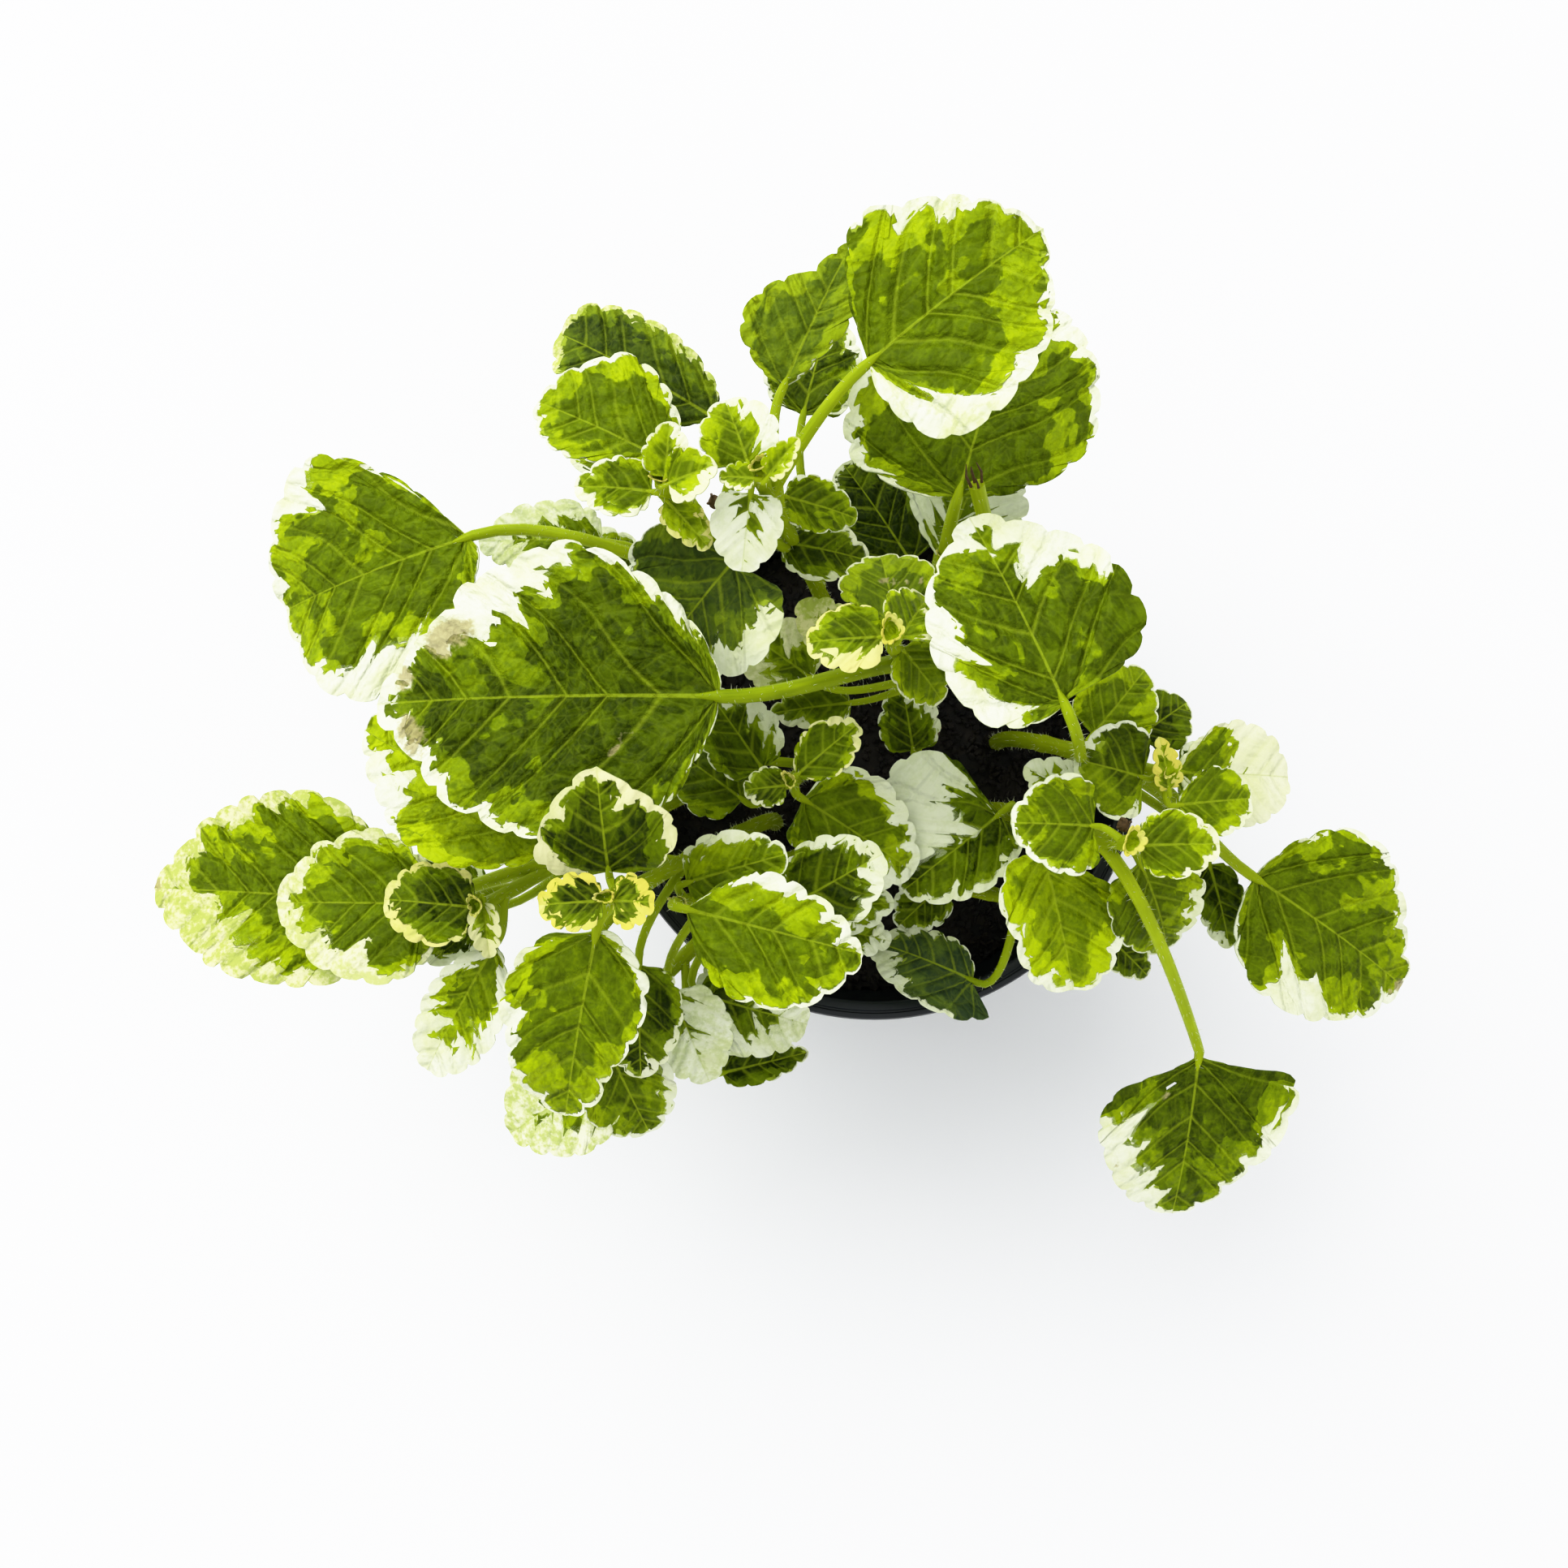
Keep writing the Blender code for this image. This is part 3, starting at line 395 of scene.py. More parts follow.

# Looks that several hidden or shaded leaves share; their low tones paint the shade they lie in
HIDDEN = Look(0.25, 0.0, (10, 20, 30), (10, 20, 30))
SHADED = Look(0.2, 0.0, (20, 20, 20), (20, 20, 20))

LOOKS = {
    "stem_back_left": [
        Look(0.28, 0.35, (12, 18, 22), (12, 20, 28, 34, 34, 24, 8, 16), 0.9, 0.2),
        Look(0.62, 0.0, (3, 5, 8, 10, 6, 4, 10, 12, 5, 10, 14, 14),
             (10, 20, 26, 24, 22, 14, 6, 10, 14, 6, 5, 10)),
        Look(0.5, 0.1, (45, 35, 30), (4, 10, 16)),
        Look(0.5, 0.8, (35, 35, 35), (35, 35, 35)),
        Look(0.65, 0.1, (20, 12, 16), (10, 18, 50, 50, 20)),
        Look(0.7, 0.2, (5, 8, 12), (50, 75, 55, 50, 40)),
        Look(0.58, 0.0, (2, 2, 3, 3, 10, 30, 62, 50, 26, 10, 6, 8),
             (3, 4, 12, 14, 12, 8, 5, 3, 4, 22, 38, 16, 5, 3, 14, 12)),
        Look(0.35, 0.0, (30, 50, 70), (60, 60, 70), 0.5),
        Look(0.3, 0.0, (10, 20, 30), (10, 20, 30)),
        Look(0.35, 0.0, (20, 25, 30), (10, 20, 30)),
    ],
    "stem_back": [
        Look(0.58, 0.0, (3, 3, 3, 3, 3, 3, 5, 8, 5, 32, 4, 32, 5, 3, 8, 12),
             (15, 30, 62, 74, 70, 52, 18, 28, 5, 12, 4, 4), 0.35),
        Look(0.72, 0.0, (0, 0, 0, 0), (6, 5, 0, 0), 0.15, 0.22),
        Look(0.6, 0.0, (6, 5, 10), (30, 55, 70, 50, 30)),
        Look(0.75, 0.5, (5, 6, 10), (60, 60, 45), 0.3),
        Look(0.55, 0.2, (40, 40, 30), (6, 6, 10)),
        Look(0.5, 0.0, (50, 40, 75, 80, 60), (50, 60, 95, 95, 80)),
        Look(0.45, 0.0, (35, 12, 6), (10, 6, 5)),
        Look(0.25, 0.1, (45, 40, 15), (20, 25, 15)),
        Look(0.32, 0.0, (3, 5, 40, 42, 40, 35), (2, 5, 35), 0.15, 0.3),
        HIDDEN,
    ],
    "stem_centre": [
        Look(0.3, 0.0, (2, 5, 12, 5, 3, 3, 8, 12, 4, 16, 10, 14),
             (2, 3, 22, 25, 18, 8, 30, 30, 40, 22, 8, 18)),
        Look(0.4, 0.7, (95, 90, 75, 55, 30), (4, 8, 12), 0.1),
        Look(0.6, 0.3, (5, 6, 10), (10, 50, 60, 30)),
        Look(0.62, 0.1, (4, 5, 8), (4, 8, 5), 0.3, 0.1),
        Look(0.6, 0.1, (5, 6, 8), (5, 10, 10)),
        Look(0.42, 0.3, (40, 50, 60), (30, 50, 60, 50), 0.5),
        Look(0.6, 0.5, (80, 80, 80), (80, 80, 80), 0.9),
        Look(0.45, 0.1, (35, 40, 30), (3, 4, 6)),
        Look(0.2, 0.0, (5, 8, 12), (10, 30, 50)),
        HIDDEN,
    ],
    "stem_inner": [
        Look(0.4, 0.5, (30, 30, 20, 12, 30, 30), (10, 20, 30), 0.3),
        Look(0.2, 0.2, (15, 15, 35), (12, 12, 20)),
        Look(0.58, 0.0, (45, 35, 20, 30, 34, 26, 30), (2, 10, 30, 30)),
        Look(0.25, 0.0, (6, 8, 12), (25, 50, 35)),
        Look(0.35, 0.0, (4, 4, 4), (4, 4, 4)),
        HIDDEN,
    ],
    "stem_front_left": [
        Look(0.15, 1.0, (30, 28, 34, 40), (30, 36, 30, 40), 0.25),
        Look(0.25, 1.0, (30, 30, 30, 40), (25, 25, 45, 40), 0.25),
        Look(0.18, 0.4, (4, 5, 8, 20, 48, 55, 50, 30, 10, 6, 12, 24, 14, 8, 14, 22),
             (5, 6, 6, 5, 5, 6, 8, 22, 26, 14, 8, 22, 36, 26, 12, 22)),
        Look(0.62, 0.0, (25, 32, 36, 30, 20, 12, 8, 5, 5, 12, 10, 5),
             (2, 4, 10, 22, 14, 10, 5, 10, 38, 24, 14, 12, 12, 16, 10, 8)),
        Look(0.15, 0.1, (10, 12, 25), (6, 8, 10)),
        Look(0.9, 0.0, (5, 4, 4, 3, 2, 2, 2, 8, 45, 50, 40, 10), (4, 4, 4)),
        HIDDEN,
    ],
    "stem_left": [
        Look(0.6, 0.35, (12, 16, 20, 24, 34, 30, 28, 42, 50, 55, 55, 40),
             (5, 8, 10, 15, 20, 28, 5, 26, 24, 16, 34, 18, 14, 30, 40, 28), 0.85),
        Look(0.58, 0.25, (10, 14, 12, 14, 24, 20, 40, 46, 40, 34, 30, 30),
             (5, 8, 10, 18, 12, 25, 34, 10, 12, 10, 26, 36, 30), 0.6),
        Look(0.15, 0.75, (10, 16, 32, 35, 25, 30), (12, 25, 30, 18, 22, 25), 0.4),
        Look(0.5, 0.4, (80, 80, 80), (80, 80, 80)),
        Look(0.68, 0.0, (50, 60, 55, 50, 80), (50, 65, 50, 55, 80)),
        Look(0.25, 0.0, (20, 30, 40), (20, 30, 40)),
    ],
    "stem_front": [
        Look(0.52, 0.0, (10, 35, 48, 30, 12), (2, 3, 6)),
        Look(0.6, 0.0, (8, 12, 14, 20, 24, 26, 36, 44, 38, 32, 20, 22, 20, 26, 34, 12),
             (4, 3, 3, 3, 4, 10, 12, 4, 10, 10, 4, 4)),
        Look(0.2, 0.0, (8, 12, 28, 30), (6, 8, 30, 42)),
        Look(0.3, 0.0, (30, 30, 30), (30, 30, 30)),
        Look(0.3, 0.0, (40, 40, 40), (40, 40, 40)),
        Look(0.25, 0.0, (80, 95, 90), (60, 80, 90), 0.4),
        Look(0.15, 0.0, (15, 35, 75, 85), (20, 50, 60, 60), 0.35),
        Look(0.2, 0.0, (30, 30, 30), (30, 30, 30)),
    ],
    "stem_low_front": [
        Look(0.45, 0.1, (60, 70, 60, 80), (60, 60, 85, 90), 0.8),
        Look(0.35, 0.0, (30, 45, 30, 10), (5, 6, 10)),
        Look(0.05, 0.0, (6, 8, 10), (6, 8, 10)),
    ],
    "stem_right": [
        Look(0.52, 0.0, (4, 5, 12, 18, 10, 14, 12), (4, 5, 5, 16, 6, 8, 12)),
        Look(0.55, 0.2, (5, 10, 24, 26, 8, 5, 12, 22, 30, 32),
             (4, 4, 6, 10, 18, 14, 22, 14, 24, 30)),
        Look(0.84, 0.0, (3, 3, 3, 3, 3, 10, 5, 22, 18, 5, 12, 25),
             (3, 3, 4, 10, 12, 6, 22, 26, 20, 18, 30, 30)),
        Look(0.5, 0.0, (5, 10, 18, 18, 12, 35, 35, 20, 8), (3, 3, 4, 5)),
        Look(0.32, 0.0, (2, 5, 22, 28, 12, 12, 26, 22, 12, 6, 6, 3),
             (2, 2, 2, 3, 4, 4, 6, 24, 50, 48, 42, 42, 40, 32, 16, 6)),
        Look(0.45, 0.0, (15, 15, 30), (40, 60, 70)),
        Look(0.15, 0.1, (10, 10, 10), (10, 10, 10)),
        Look(0.2, 0.0, (5, 8, 12, 20, 22, 25, 16, 16, 20, 12, 8, 8),
             (5, 10, 20, 55, 85, 80, 62, 95, 95, 80, 30, 10)),
        SHADED,
    ],
    "stem_back_right": [
        Look(0.42, 0.0, (4, 5, 10, 25, 52, 66, 42, 24, 34, 50, 26, 10, 3, 8, 34, 25),
             (4, 5, 8, 9, 12, 12, 25, 32, 14, 34, 16, 42, 52, 40, 30, 15)),
        Look(0.32, 0.0, (20, 35, 35, 25, 8, 6, 12, 15), (4, 5, 10, 12, 5, 16, 20, 12)),
        Look(0.6, 0.0, (25, 22, 8, 5, 5, 5), (8, 12, 16, 22, 22, 16)),
        Look(0.6, 0.15, (55, 40, 30, 22, 20, 45, 80, 95, 95, 95), (80, 90, 98, 98, 98, 98), 0.1),
        Look(0.5, 1.0, (60, 60, 60), (60, 60, 60), 0.3),
        Look(0.6, 0.0, (4, 5, 6), (6, 6, 6)),
        Look(0.05, 0.0, (5, 5, 5), (5, 5, 5)),
        Look(0.52, 0.0, (2, 3, 4, 10, 22, 18, 16, 16, 14, 10, 10, 18, 14, 6, 4, 3),
             (3, 4, 6, 10, 5, 3, 8, 32, 55, 55, 34, 12, 5, 12, 14, 6)),
        Look(0.1, 0.0, (5, 8, 10), (5, 10, 40)),
        SHADED,
        SHADED,
    ],
    "stem_far_right": [
        Look(0.52, 0.0, (3, 8, 14, 18, 16, 14, 5, 5, 5, 5, 5, 5),
             (2, 2, 2, 3, 3, 6, 14, 4, 10, 24, 8, 8)),
        Look(0.35, 0.0, (70, 80, 90), (70, 80, 90)),
        Look(0.0, 0.0, (6, 10, 15), (6, 10, 10)),
        Look(0.25, 0.0, (20, 20, 20), (20, 20, 20)),
    ],
    "stem_front_right": [
        SHADED,
        Look(0.12, 0.0, (10, 10, 20, 60), (10, 15, 20), 0.3, 0.6),
    ],
}

# Dried and scorched spots on blades: (across, down) and radius in millimetres
SPOTS = {
    ("stem_centre", 0): ((570, 785, 3.6), (552, 797, 3.2), (520, 915, 3.2), (507, 898, 2.2),
                         (776, 905, 1.1), (773, 914, 1.1), (760, 932, 0.7), (505, 838, 2.4)),
    ("stem_centre", 3): ((1090, 722, 1.0), (1104, 722, 0.9), (1120, 724, 0.9), (1135, 724, 0.8)),
    ("stem_left", 0): ((196, 1090, 1.4),),
    ("stem_back_right", 7): ((1722, 1213, 1.4), (1708, 1222, 0.8)),
    ("stem_right", 4): ((1438, 1340, 1.4), (1373, 1425, 0.8)),
}

# A small torn hole in a blade: (across, down) in the picture and radius in millimetres
HOLES = {("stem_right", 4): (1446, 1334, 1.15)}

# Dried knots where older shoots came off: (across, down) in the picture and height
KNOTS = {
    "stem_back_left": ((880, 618, 143),),
    "stem_centre": ((1152, 900, 106),),
    "stem_right": ((1384, 1016, 147),),
}

# A knot's section, as places along it and radii, and the lengths of the fibres round a scar
KNOT_SECTION = ((-1.3, 0.2), (-0.9, 0.8), (0.0, 1.1), (0.9, 0.7), (1.2, 0.15))
KNOT_SIDES = 9
KNOT_FIBRES = (1.6, 2.2, 1.4, 2.0)
KNOT_RING = 0.7
SCAR_FIBRES = (4.5, 3.0, 5.0, 2.5)
SCAR_RING = 0.9
FIBRE_RADII = (0.3, 0.24, 0.08)
FIBRE_SIDES = 6
FIBRE_TURN = 1.57

# How a stalk bends, as shares of its reach: level and upwards as it leaves its stem, and in line
# with its blade as it arrives. Two bend otherwise, so that they pass round a blade beside them
USUAL_BEND = (0.25, 0.28, 0.3)
STALK_BENDS = {("stem_back_right", 0): (0.75, 0.0, 0.3), ("stem_right", 4): (0.2, 0.3, 0.0)}

# Stalks that are deeper (0) or lighter (1) than their blades' tone
STALK_TONES = {("stem_centre", 0): 0.0, ("stem_right", 4): 0.9}

# How far a blade's tip droops, as a share of its length
DROOPS = {("stem_right", 3): 0.22}

# Fine blades: thickness, the rib below and the groove above, which are full on a long blade
THICK_AT_MARGIN = 0.32
THICK_IN_MIDDLE = 0.5
RIB_HEIGHT = 0.55
RIB_HALF = 0.8
RIB_FULL_AT = 34
GROOVE_DEPTH = 0.3
GROOVE_HALF = 0.9
GROOVE_FULL_AT = 30

# A plain margin: its stations, how even they are (1 is even), and how soon its lower lobe opens
MARGIN_STATIONS = 33
MARGIN_EVEN = 0.35
LOBE_OPENS = 0.09

# Scallops: how many and how deep they are for the length of the blade, and how they vary
FEWEST_SCALLOPS = 5
MOST_SCALLOPS = 14
SCALLOPS_AT_NONE = 3.4
SCALLOPS_PER_LENGTH = 0.155
SHALLOWEST = 0.5
DEEPEST = 1.25
DEPTH_AT_NONE = 0.45
DEPTH_PER_LENGTH = 0.016
DEEPER_WHILE_YOUNG = 1.25
ROWS_IN_SCALLOP = 6
SCALLOP_SHIFT = 0.2
SCALLOP_SIZES = (0.7, 1.25)
SCALLOP_MIDDLE = 0.62

# Side veins on each side of the midrib and columns of points, for blades longer than this
VEINS = ((45, 7.0), (20, 6.0), (0, 5.0))
COLUMNS = ((45, 28), (30, 22), (0, 16))

# Side veins slant forward, bend towards the margin, and fan out behind the first one. Their
# numbers start high enough that none is below zero
VEIN_SLANT = 0.75
VEIN_BEND = 0.42
VEIN_FAN = 0.3
FIRST_VEIN = 8.0

# Waves of the margin, in half turns along it, and the bulges between the side veins
LONG_WAVE = 4.6
SHORT_WAVE = 8.2
WAVE_PER_LENGTH = 0.013
LOBE_LIFT = 0.2
QUILT_PER_LENGTH = 0.015
FLATTEST_QUILT = 0.05
HIGHEST_QUILT = 0.75

# The pattern of the blades: how it is drawn out along them, and how far apart two blades lie in it
WEAVE_ALONG = 0.12
WEAVE_APART = 7.3

# How much the pale margin's depth differs between fields, where few and where many depths are given
FEW_DEPTHS = 6
LOOSE_WHERE_FEW = 0.6
LOOSE_WHERE_MANY = 0.35

HOLE_RAGGED = 0.22
BLADE_SEED = 11

# Cup of tiny leaves at each stem's top: half widths, height and the scallops round its rim
CUP_WIDTH = 1.75
CUP_BREADTH = 2.5
CUP_HEIGHT = 3.0
CUP_SCALLOPS = 9
CUP_STEPS = 54
CUP_TURN = 0.7

# The cup's section, up its outside, over its rim and down inside: width, height and scalloping
CUP_SECTION = ((0.45, -0.8, 0.0), (0.55, 0.2, 0.1), (0.75, 1.3, 0.3), (0.92, 2.3, 0.7),
               (1.0, CUP_HEIGHT, 1.0), (0.9, CUP_HEIGHT + 0.1, 1.0), (0.72, 2.6, 0.5),
               (0.5, 1.9, 0.2), (0.25, 1.4, 0.0))
USUAL_CUP = 0.6
WIDE_CUPS = {"stem_centre": 1.0, "stem_right": 1.0, "stem_left": 0.75}

# Each stem's materials
LEAF_SLOT = 0
STALK_SLOT = 1
DRY_SLOT = 2

# Hairs and grains, by the square metre
HAIR_SEED = 5
HAIRS = 450000.0
HAIR_THICKNESS = 0.00004
GRAIN_SEED = 9
GRAINS = 420000.0

# Hollows and humps of the mix: how many, how far from the middle, and their reach and height
HUMPS = 90
HUMPS_WITHIN = 46
HUMP_REACH = (2.5, 7.0)
HUMP_HEIGHT = (-0.6, 0.9)

# Stage, in metres
FLOOR_SIZE = 6.0
LAMP_SIZE = 2.4
LAMP_PLACE = (-1.1, 1.2, 2.0)
LAMP_AIM = (0.0, 0.0, 0.1)

# Brightness of the picture for that of the scene, so that the light tones stay apart
BRIGHTEST = 1.35
TONE_POINTS = ((0.30, 0.30), (0.50, 0.53), (0.66, 0.69), (0.76, 0.755), (0.84, 0.79), (0.92, 0.808),
               (1.05, 0.823))
TOP_TONE = 0.838

# The number of the tone curve that all colours share
ALL_COLOURS = 3

# Points closer than this are merged, in metres: in a mesh, and on the axis of a turned one
MERGE_WITHIN = 0.000002
MERGE_ON_AXIS = 0.00001

# Edges that turn further than this stay crisp, in degrees: on the plant, and on the pot and the mix
CRISP_ON_PLANT = 50.0
CRISP_ON_POT = 40.0
POT_STEPS = 144
MIX_STEPS = 72

# Kinds of node that are used often, and outputs by their number: an attribute's vector and its
# factor, and Object coordinates. A mix has its colours as inputs 6 and 7, and its result as output 2
MATH = "ShaderNodeMath"
RANGE = "ShaderNodeMapRange"
MIX = "ShaderNodeMix"
NOISE = "ShaderNodeTexNoise"
CELLS = "ShaderNodeTexVoronoi"
RANDOM = "FunctionNodeRandomValue"
COLOURS = {"output": 2, "data_type": "RGBA"}
VECTOR = 1
FACTOR = 2
OBJECT = 3


def srgb(code):
    """A hex colour as the linear colour that a material or light takes."""
    parts = [int(code[place:place + 2], 16) / 255 for place in (1, 3, 5)]
    linear = [part / 12.92 if part <= 0.04045 else ((part + 0.055) / 1.055) ** 2.4 for part in parts]
    return (*linear, 1.0)


def node(tree, kind, inputs=None, output=0, **settings):
    """Adds a node, makes its settings, sets or links its inputs and returns one of its outputs."""
    item = tree.nodes.new(kind)
    for name, value in settings.items():
        setattr(item, name, value)
    for name, value in (inputs or {}).items():
        if isinstance(value, bpy.types.NodeSocket):
            tree.links.new(value, item.inputs[name])
        else:
            item.inputs[name].default_value = value
    return item.outputs[output] if len(item.outputs) else item


def new_material(name):
    """An empty material, and the function that adds a node to it."""
    material = bpy.data.materials.new(name)
    material.use_nodes = True
    material.node_tree.nodes.clear()
    return material, partial(node, material.node_tree)


def finished(material, add, inputs):
    """The material, ended in a Principled shader with its inputs set or linked."""
    surface = add("ShaderNodeBsdfPrincipled", inputs)
    add("ShaderNodeOutputMaterial", {"Surface": surface})
    return material


def linked(name, data):
    """A new object of a mesh, lamp or camera, in the scene."""
    item = bpy.data.objects.new(name, data)
    bpy.context.scene.collection.objects.link(item)
    return item


def as_mesh(name, shape):
    """A new mesh of a bmesh, which is freed."""
    mesh = bpy.data.meshes.new(name)
    shape.to_mesh(mesh)
    shape.free()
    return mesh


def without(data, unwanted):
    """A bmesh of a mesh, without the faces that a test picks."""
    shape = bmesh.new()
    shape.from_mesh(data)
    faces = [face for face in shape.faces if unwanted(face)]
    bmesh.ops.delete(shape, geom=faces, context="FACES")
    return shape


def evaluated_mesh(item):
    """The plain mesh that an object's modifiers make; the object is removed."""
    bpy.context.view_layer.update()
    evaluated = item.evaluated_get(bpy.context.evaluated_depsgraph_get())
    mesh = bpy.data.meshes.new_from_object(evaluated)
    bpy.data.objects.remove(item, do_unlink=True)
    return mesh


def sight(across, down, height):
    """Where the sight line through a place on the picture meets a height, in millimetres."""
    line = sight_line(across, down)
    return LENS_PLACE + line * ((height - LENS_PLACE.z) / line.z)


def sight_line(across, down):
    """Direction of the sight line through a place on the picture."""
    right = (across - PICTURE_SIZE / 2) / PICTURE_FOCUS
    up = (PICTURE_SIZE / 2 - down) / PICTURE_FOCUS
    return LENS_AIM + LENS_RIGHT * right + LENS_UP * up


def on_blade(across, down, place):
    """Forward and across of a place on the picture, on the flat sheet of a blade."""
    base, _, along, right, out = place
    line = sight_line(across, down)
    meet = LENS_PLACE + line * ((base - LENS_PLACE).dot(out) / line.dot(out)) - base
    return meet.dot(along), meet.dot(right)


def bezier(start, pull, push, end, share):
    """A point on the curve from start to end that pull and push draw to them."""
    rest = 1.0 - share
    return (start * rest ** 3 + pull * (3 * rest ** 2 * share)
            + push * (3 * rest * share ** 2) + end * share ** 3)


def stem_point(stem, share):
    """A point on the stem's middle line, from the mix's surface (0) to its top (1)."""
    foot = Vector((*stem.root, MIX_TOP + STEM_STRAIGHT))
    top = sight(*stem.top)
    rise = Vector((0.0, 0.0, stem.rise))
    return bezier(foot, foot + rise, top - rise * 0.5, top, share)


def leaf_frame(leaf):
    """Base point, length and the directions along, right and out of a blade."""
    base = sight(*leaf.base)
    run = sight(*leaf.tip) - base
    length = run.length
    along = run.normalized()
    out = (Vector((0.0, 0.0, 1.0)) - along * along.z).normalized()
    right = along.cross(out)
    turn = math.radians(leaf.roll)
    rolled_right = right * math.cos(turn) + out * math.sin(turn)
    rolled_out = out * math.cos(turn) - right * math.sin(turn)
    return base, length, along, rolled_right, rolled_out


def half_width(outline, share):
    """Half of an outline of unit width, for an array of shares from the stalk to the tip."""
    widest, base_square, tip_square = OUTLINES[outline]
    inside = np.clip(np.sin(math.pi * share ** widest), 0.0, None)
    return 0.5 * inside ** (base_square + (tip_square - base_square) * share)


def smooth_line(points, shares):
    """Places at even shares of the run of a smooth line through the points."""
    points = np.array(points, float)
    padded = np.vstack([2 * points[0] - points[1], points, 2 * points[-1] - points[-2]])
    dense = []
    for first, second, third, fourth in zip(padded, padded[1:], padded[2:], padded[3:]):
        for step in np.linspace(0.0, 1.0, 8, endpoint=False):
            dense.append(0.5 * (2 * second + (third - first) * step
                                + (2 * first - 5 * second + 4 * third - fourth) * step ** 2
                                + (3 * second - first - 3 * third + fourth) * step ** 3))
    dense.append(points[-1])
    dense = np.array(dense)
    run = np.concatenate([[0.0], np.cumsum(np.linalg.norm(np.diff(dense, axis=0), axis=1))])
    run /= run[-1]
    return np.stack([np.interp(shares, run, dense[:, axis]) for axis in (0, 1)], axis=-1)


class Body:
    """Gathers the points, faces and point values of one piece.

    A blade's values are the number of its side vein and the room between veins, the distances to
    the margin and to the midrib, the pale margin's depth and how much that differs between
    fields, half the blade's width, the Look's numbers, 1 on the underside and 1 in a dried spot.
    """

    VALUES = ("vein", "spacing", "edge", "cream", "loose", "span", "tone", "young", "mottle", "grey",
              "rib", "under", "wear")

    def __init__(self):
        self.points = []
        self.uvs = []
        self.weave = []
        self.faces = []
        self.slots = []
        self.values = {name: [] for name in self.VALUES}
        self.count = 0

    def add(self, points, uvs, faces, slot, weave=None, **values):
        amount = len(points)
        self.points.append(points)
        self.uvs.append(uvs)
        self.weave.append(points if weave is None else weave)
        for face in faces:
            self.faces.append([corner + self.count for corner in face])
        self.slots += [slot] * len(faces)
        for name in self.VALUES:
            value = np.asarray(values.get(name, 0.0), float)
            self.values[name].append(np.broadcast_to(value, (amount,)))
        self.count += amount

    def make(self, name, materials):
        mesh = bpy.data.meshes.new(name)
        mesh.from_pydata((np.concatenate(self.points) * MM).tolist(), [], self.faces)
        for material in materials:
            mesh.materials.append(material)
        mesh.polygons.foreach_set("material_index", self.slots)
        layer = mesh.uv_layers.new(name="leaf_map")
        corners = np.empty(len(mesh.loops), int)
        mesh.loops.foreach_get("vertex_index", corners)
        layer.data.foreach_set("uv", np.concatenate(self.uvs)[corners].ravel())
        for value_name, parts in self.values.items():
            attribute = mesh.attributes.new(value_name, "FLOAT", "POINT")
            attribute.data.foreach_set("value", np.concatenate(parts))
        weave = mesh.attributes.new("weave", "FLOAT_VECTOR", "POINT")
        weave.data.foreach_set("vector", np.concatenate(self.weave).ravel())
        mesh.shade_smooth()
        mesh.set_sharp_from_angle(angle=math.radians(CRISP_ON_PLANT))
        mesh.update()
        return linked(name, mesh)


def margin_curve(leaf, place, traced, number, way):
    """One margin, from the stalk to the tip, as (forward, half width) in millimetres."""
    length = place[1]
    if traced:
        points = [on_blade(*point, place) for point in traced[number]]
        inner = [(forward, max(0.1, across * way)) for forward, across in points]
        return [(0.0, 0.0)] + inner + [(length, 0.0)]
    even = np.linspace(0.0, 1.0, MARGIN_STATIONS)
    crowded = (1.0 - np.cos(np.linspace(0.0, math.pi, MARGIN_STATIONS))) / 2.0
    shares = MARGIN_EVEN * even + (1.0 - MARGIN_EVEN) * crowded
    opened = np.clip(shares / LOBE_OPENS, 0.0, 1.0)
    opened = opened * opened * (3.0 - 2.0 * opened)
    forward = (shares - leaf.lobes[number] * (1.0 - shares) ** 2 * opened) * length
    half = half_width(leaf.outline, shares) * leaf.width * length * (1.0 + leaf.skew * way)
    return np.stack([forward, half * math.cos(math.atan(leaf.fold))], axis=-1)


def vein_field(forward, across, length, width, veins):
    """Which side vein runs through a point, and how far apart the veins are there, in millimetres.

    Side veins leave the midrib slanting forward. Behind the first one they fan out from the base.
    """
    off = np.abs(across)
    bend = VEIN_BEND * off / width
    slant = VEIN_SLANT * off * (1.0 + bend)
    steep = VEIN_SLANT * (1.0 + 2.0 * bend)
    behind = np.arctan2(slant, forward) - math.pi / 4
    ahead = forward >= slant
    place = np.where(ahead, (forward - slant) / length, -VEIN_FAN * behind)
    turning = np.hypot(slant, forward * steep) / np.maximum(forward ** 2 + slant ** 2, 0.3)
    gradient = np.where(ahead, np.hypot(1.0, steep) / length, VEIN_FAN * turning)
    return veins * place, 1.0 / (veins * np.maximum(gradient, 0.5 / length))


def faded(station, start, end):
    """1 along a margin, falling to 0 towards its start and over its end."""
    return np.clip((station - start) / 0.12, 0.0, 1.0) * np.clip((1.0 - station) / end, 0.0, 1.0)


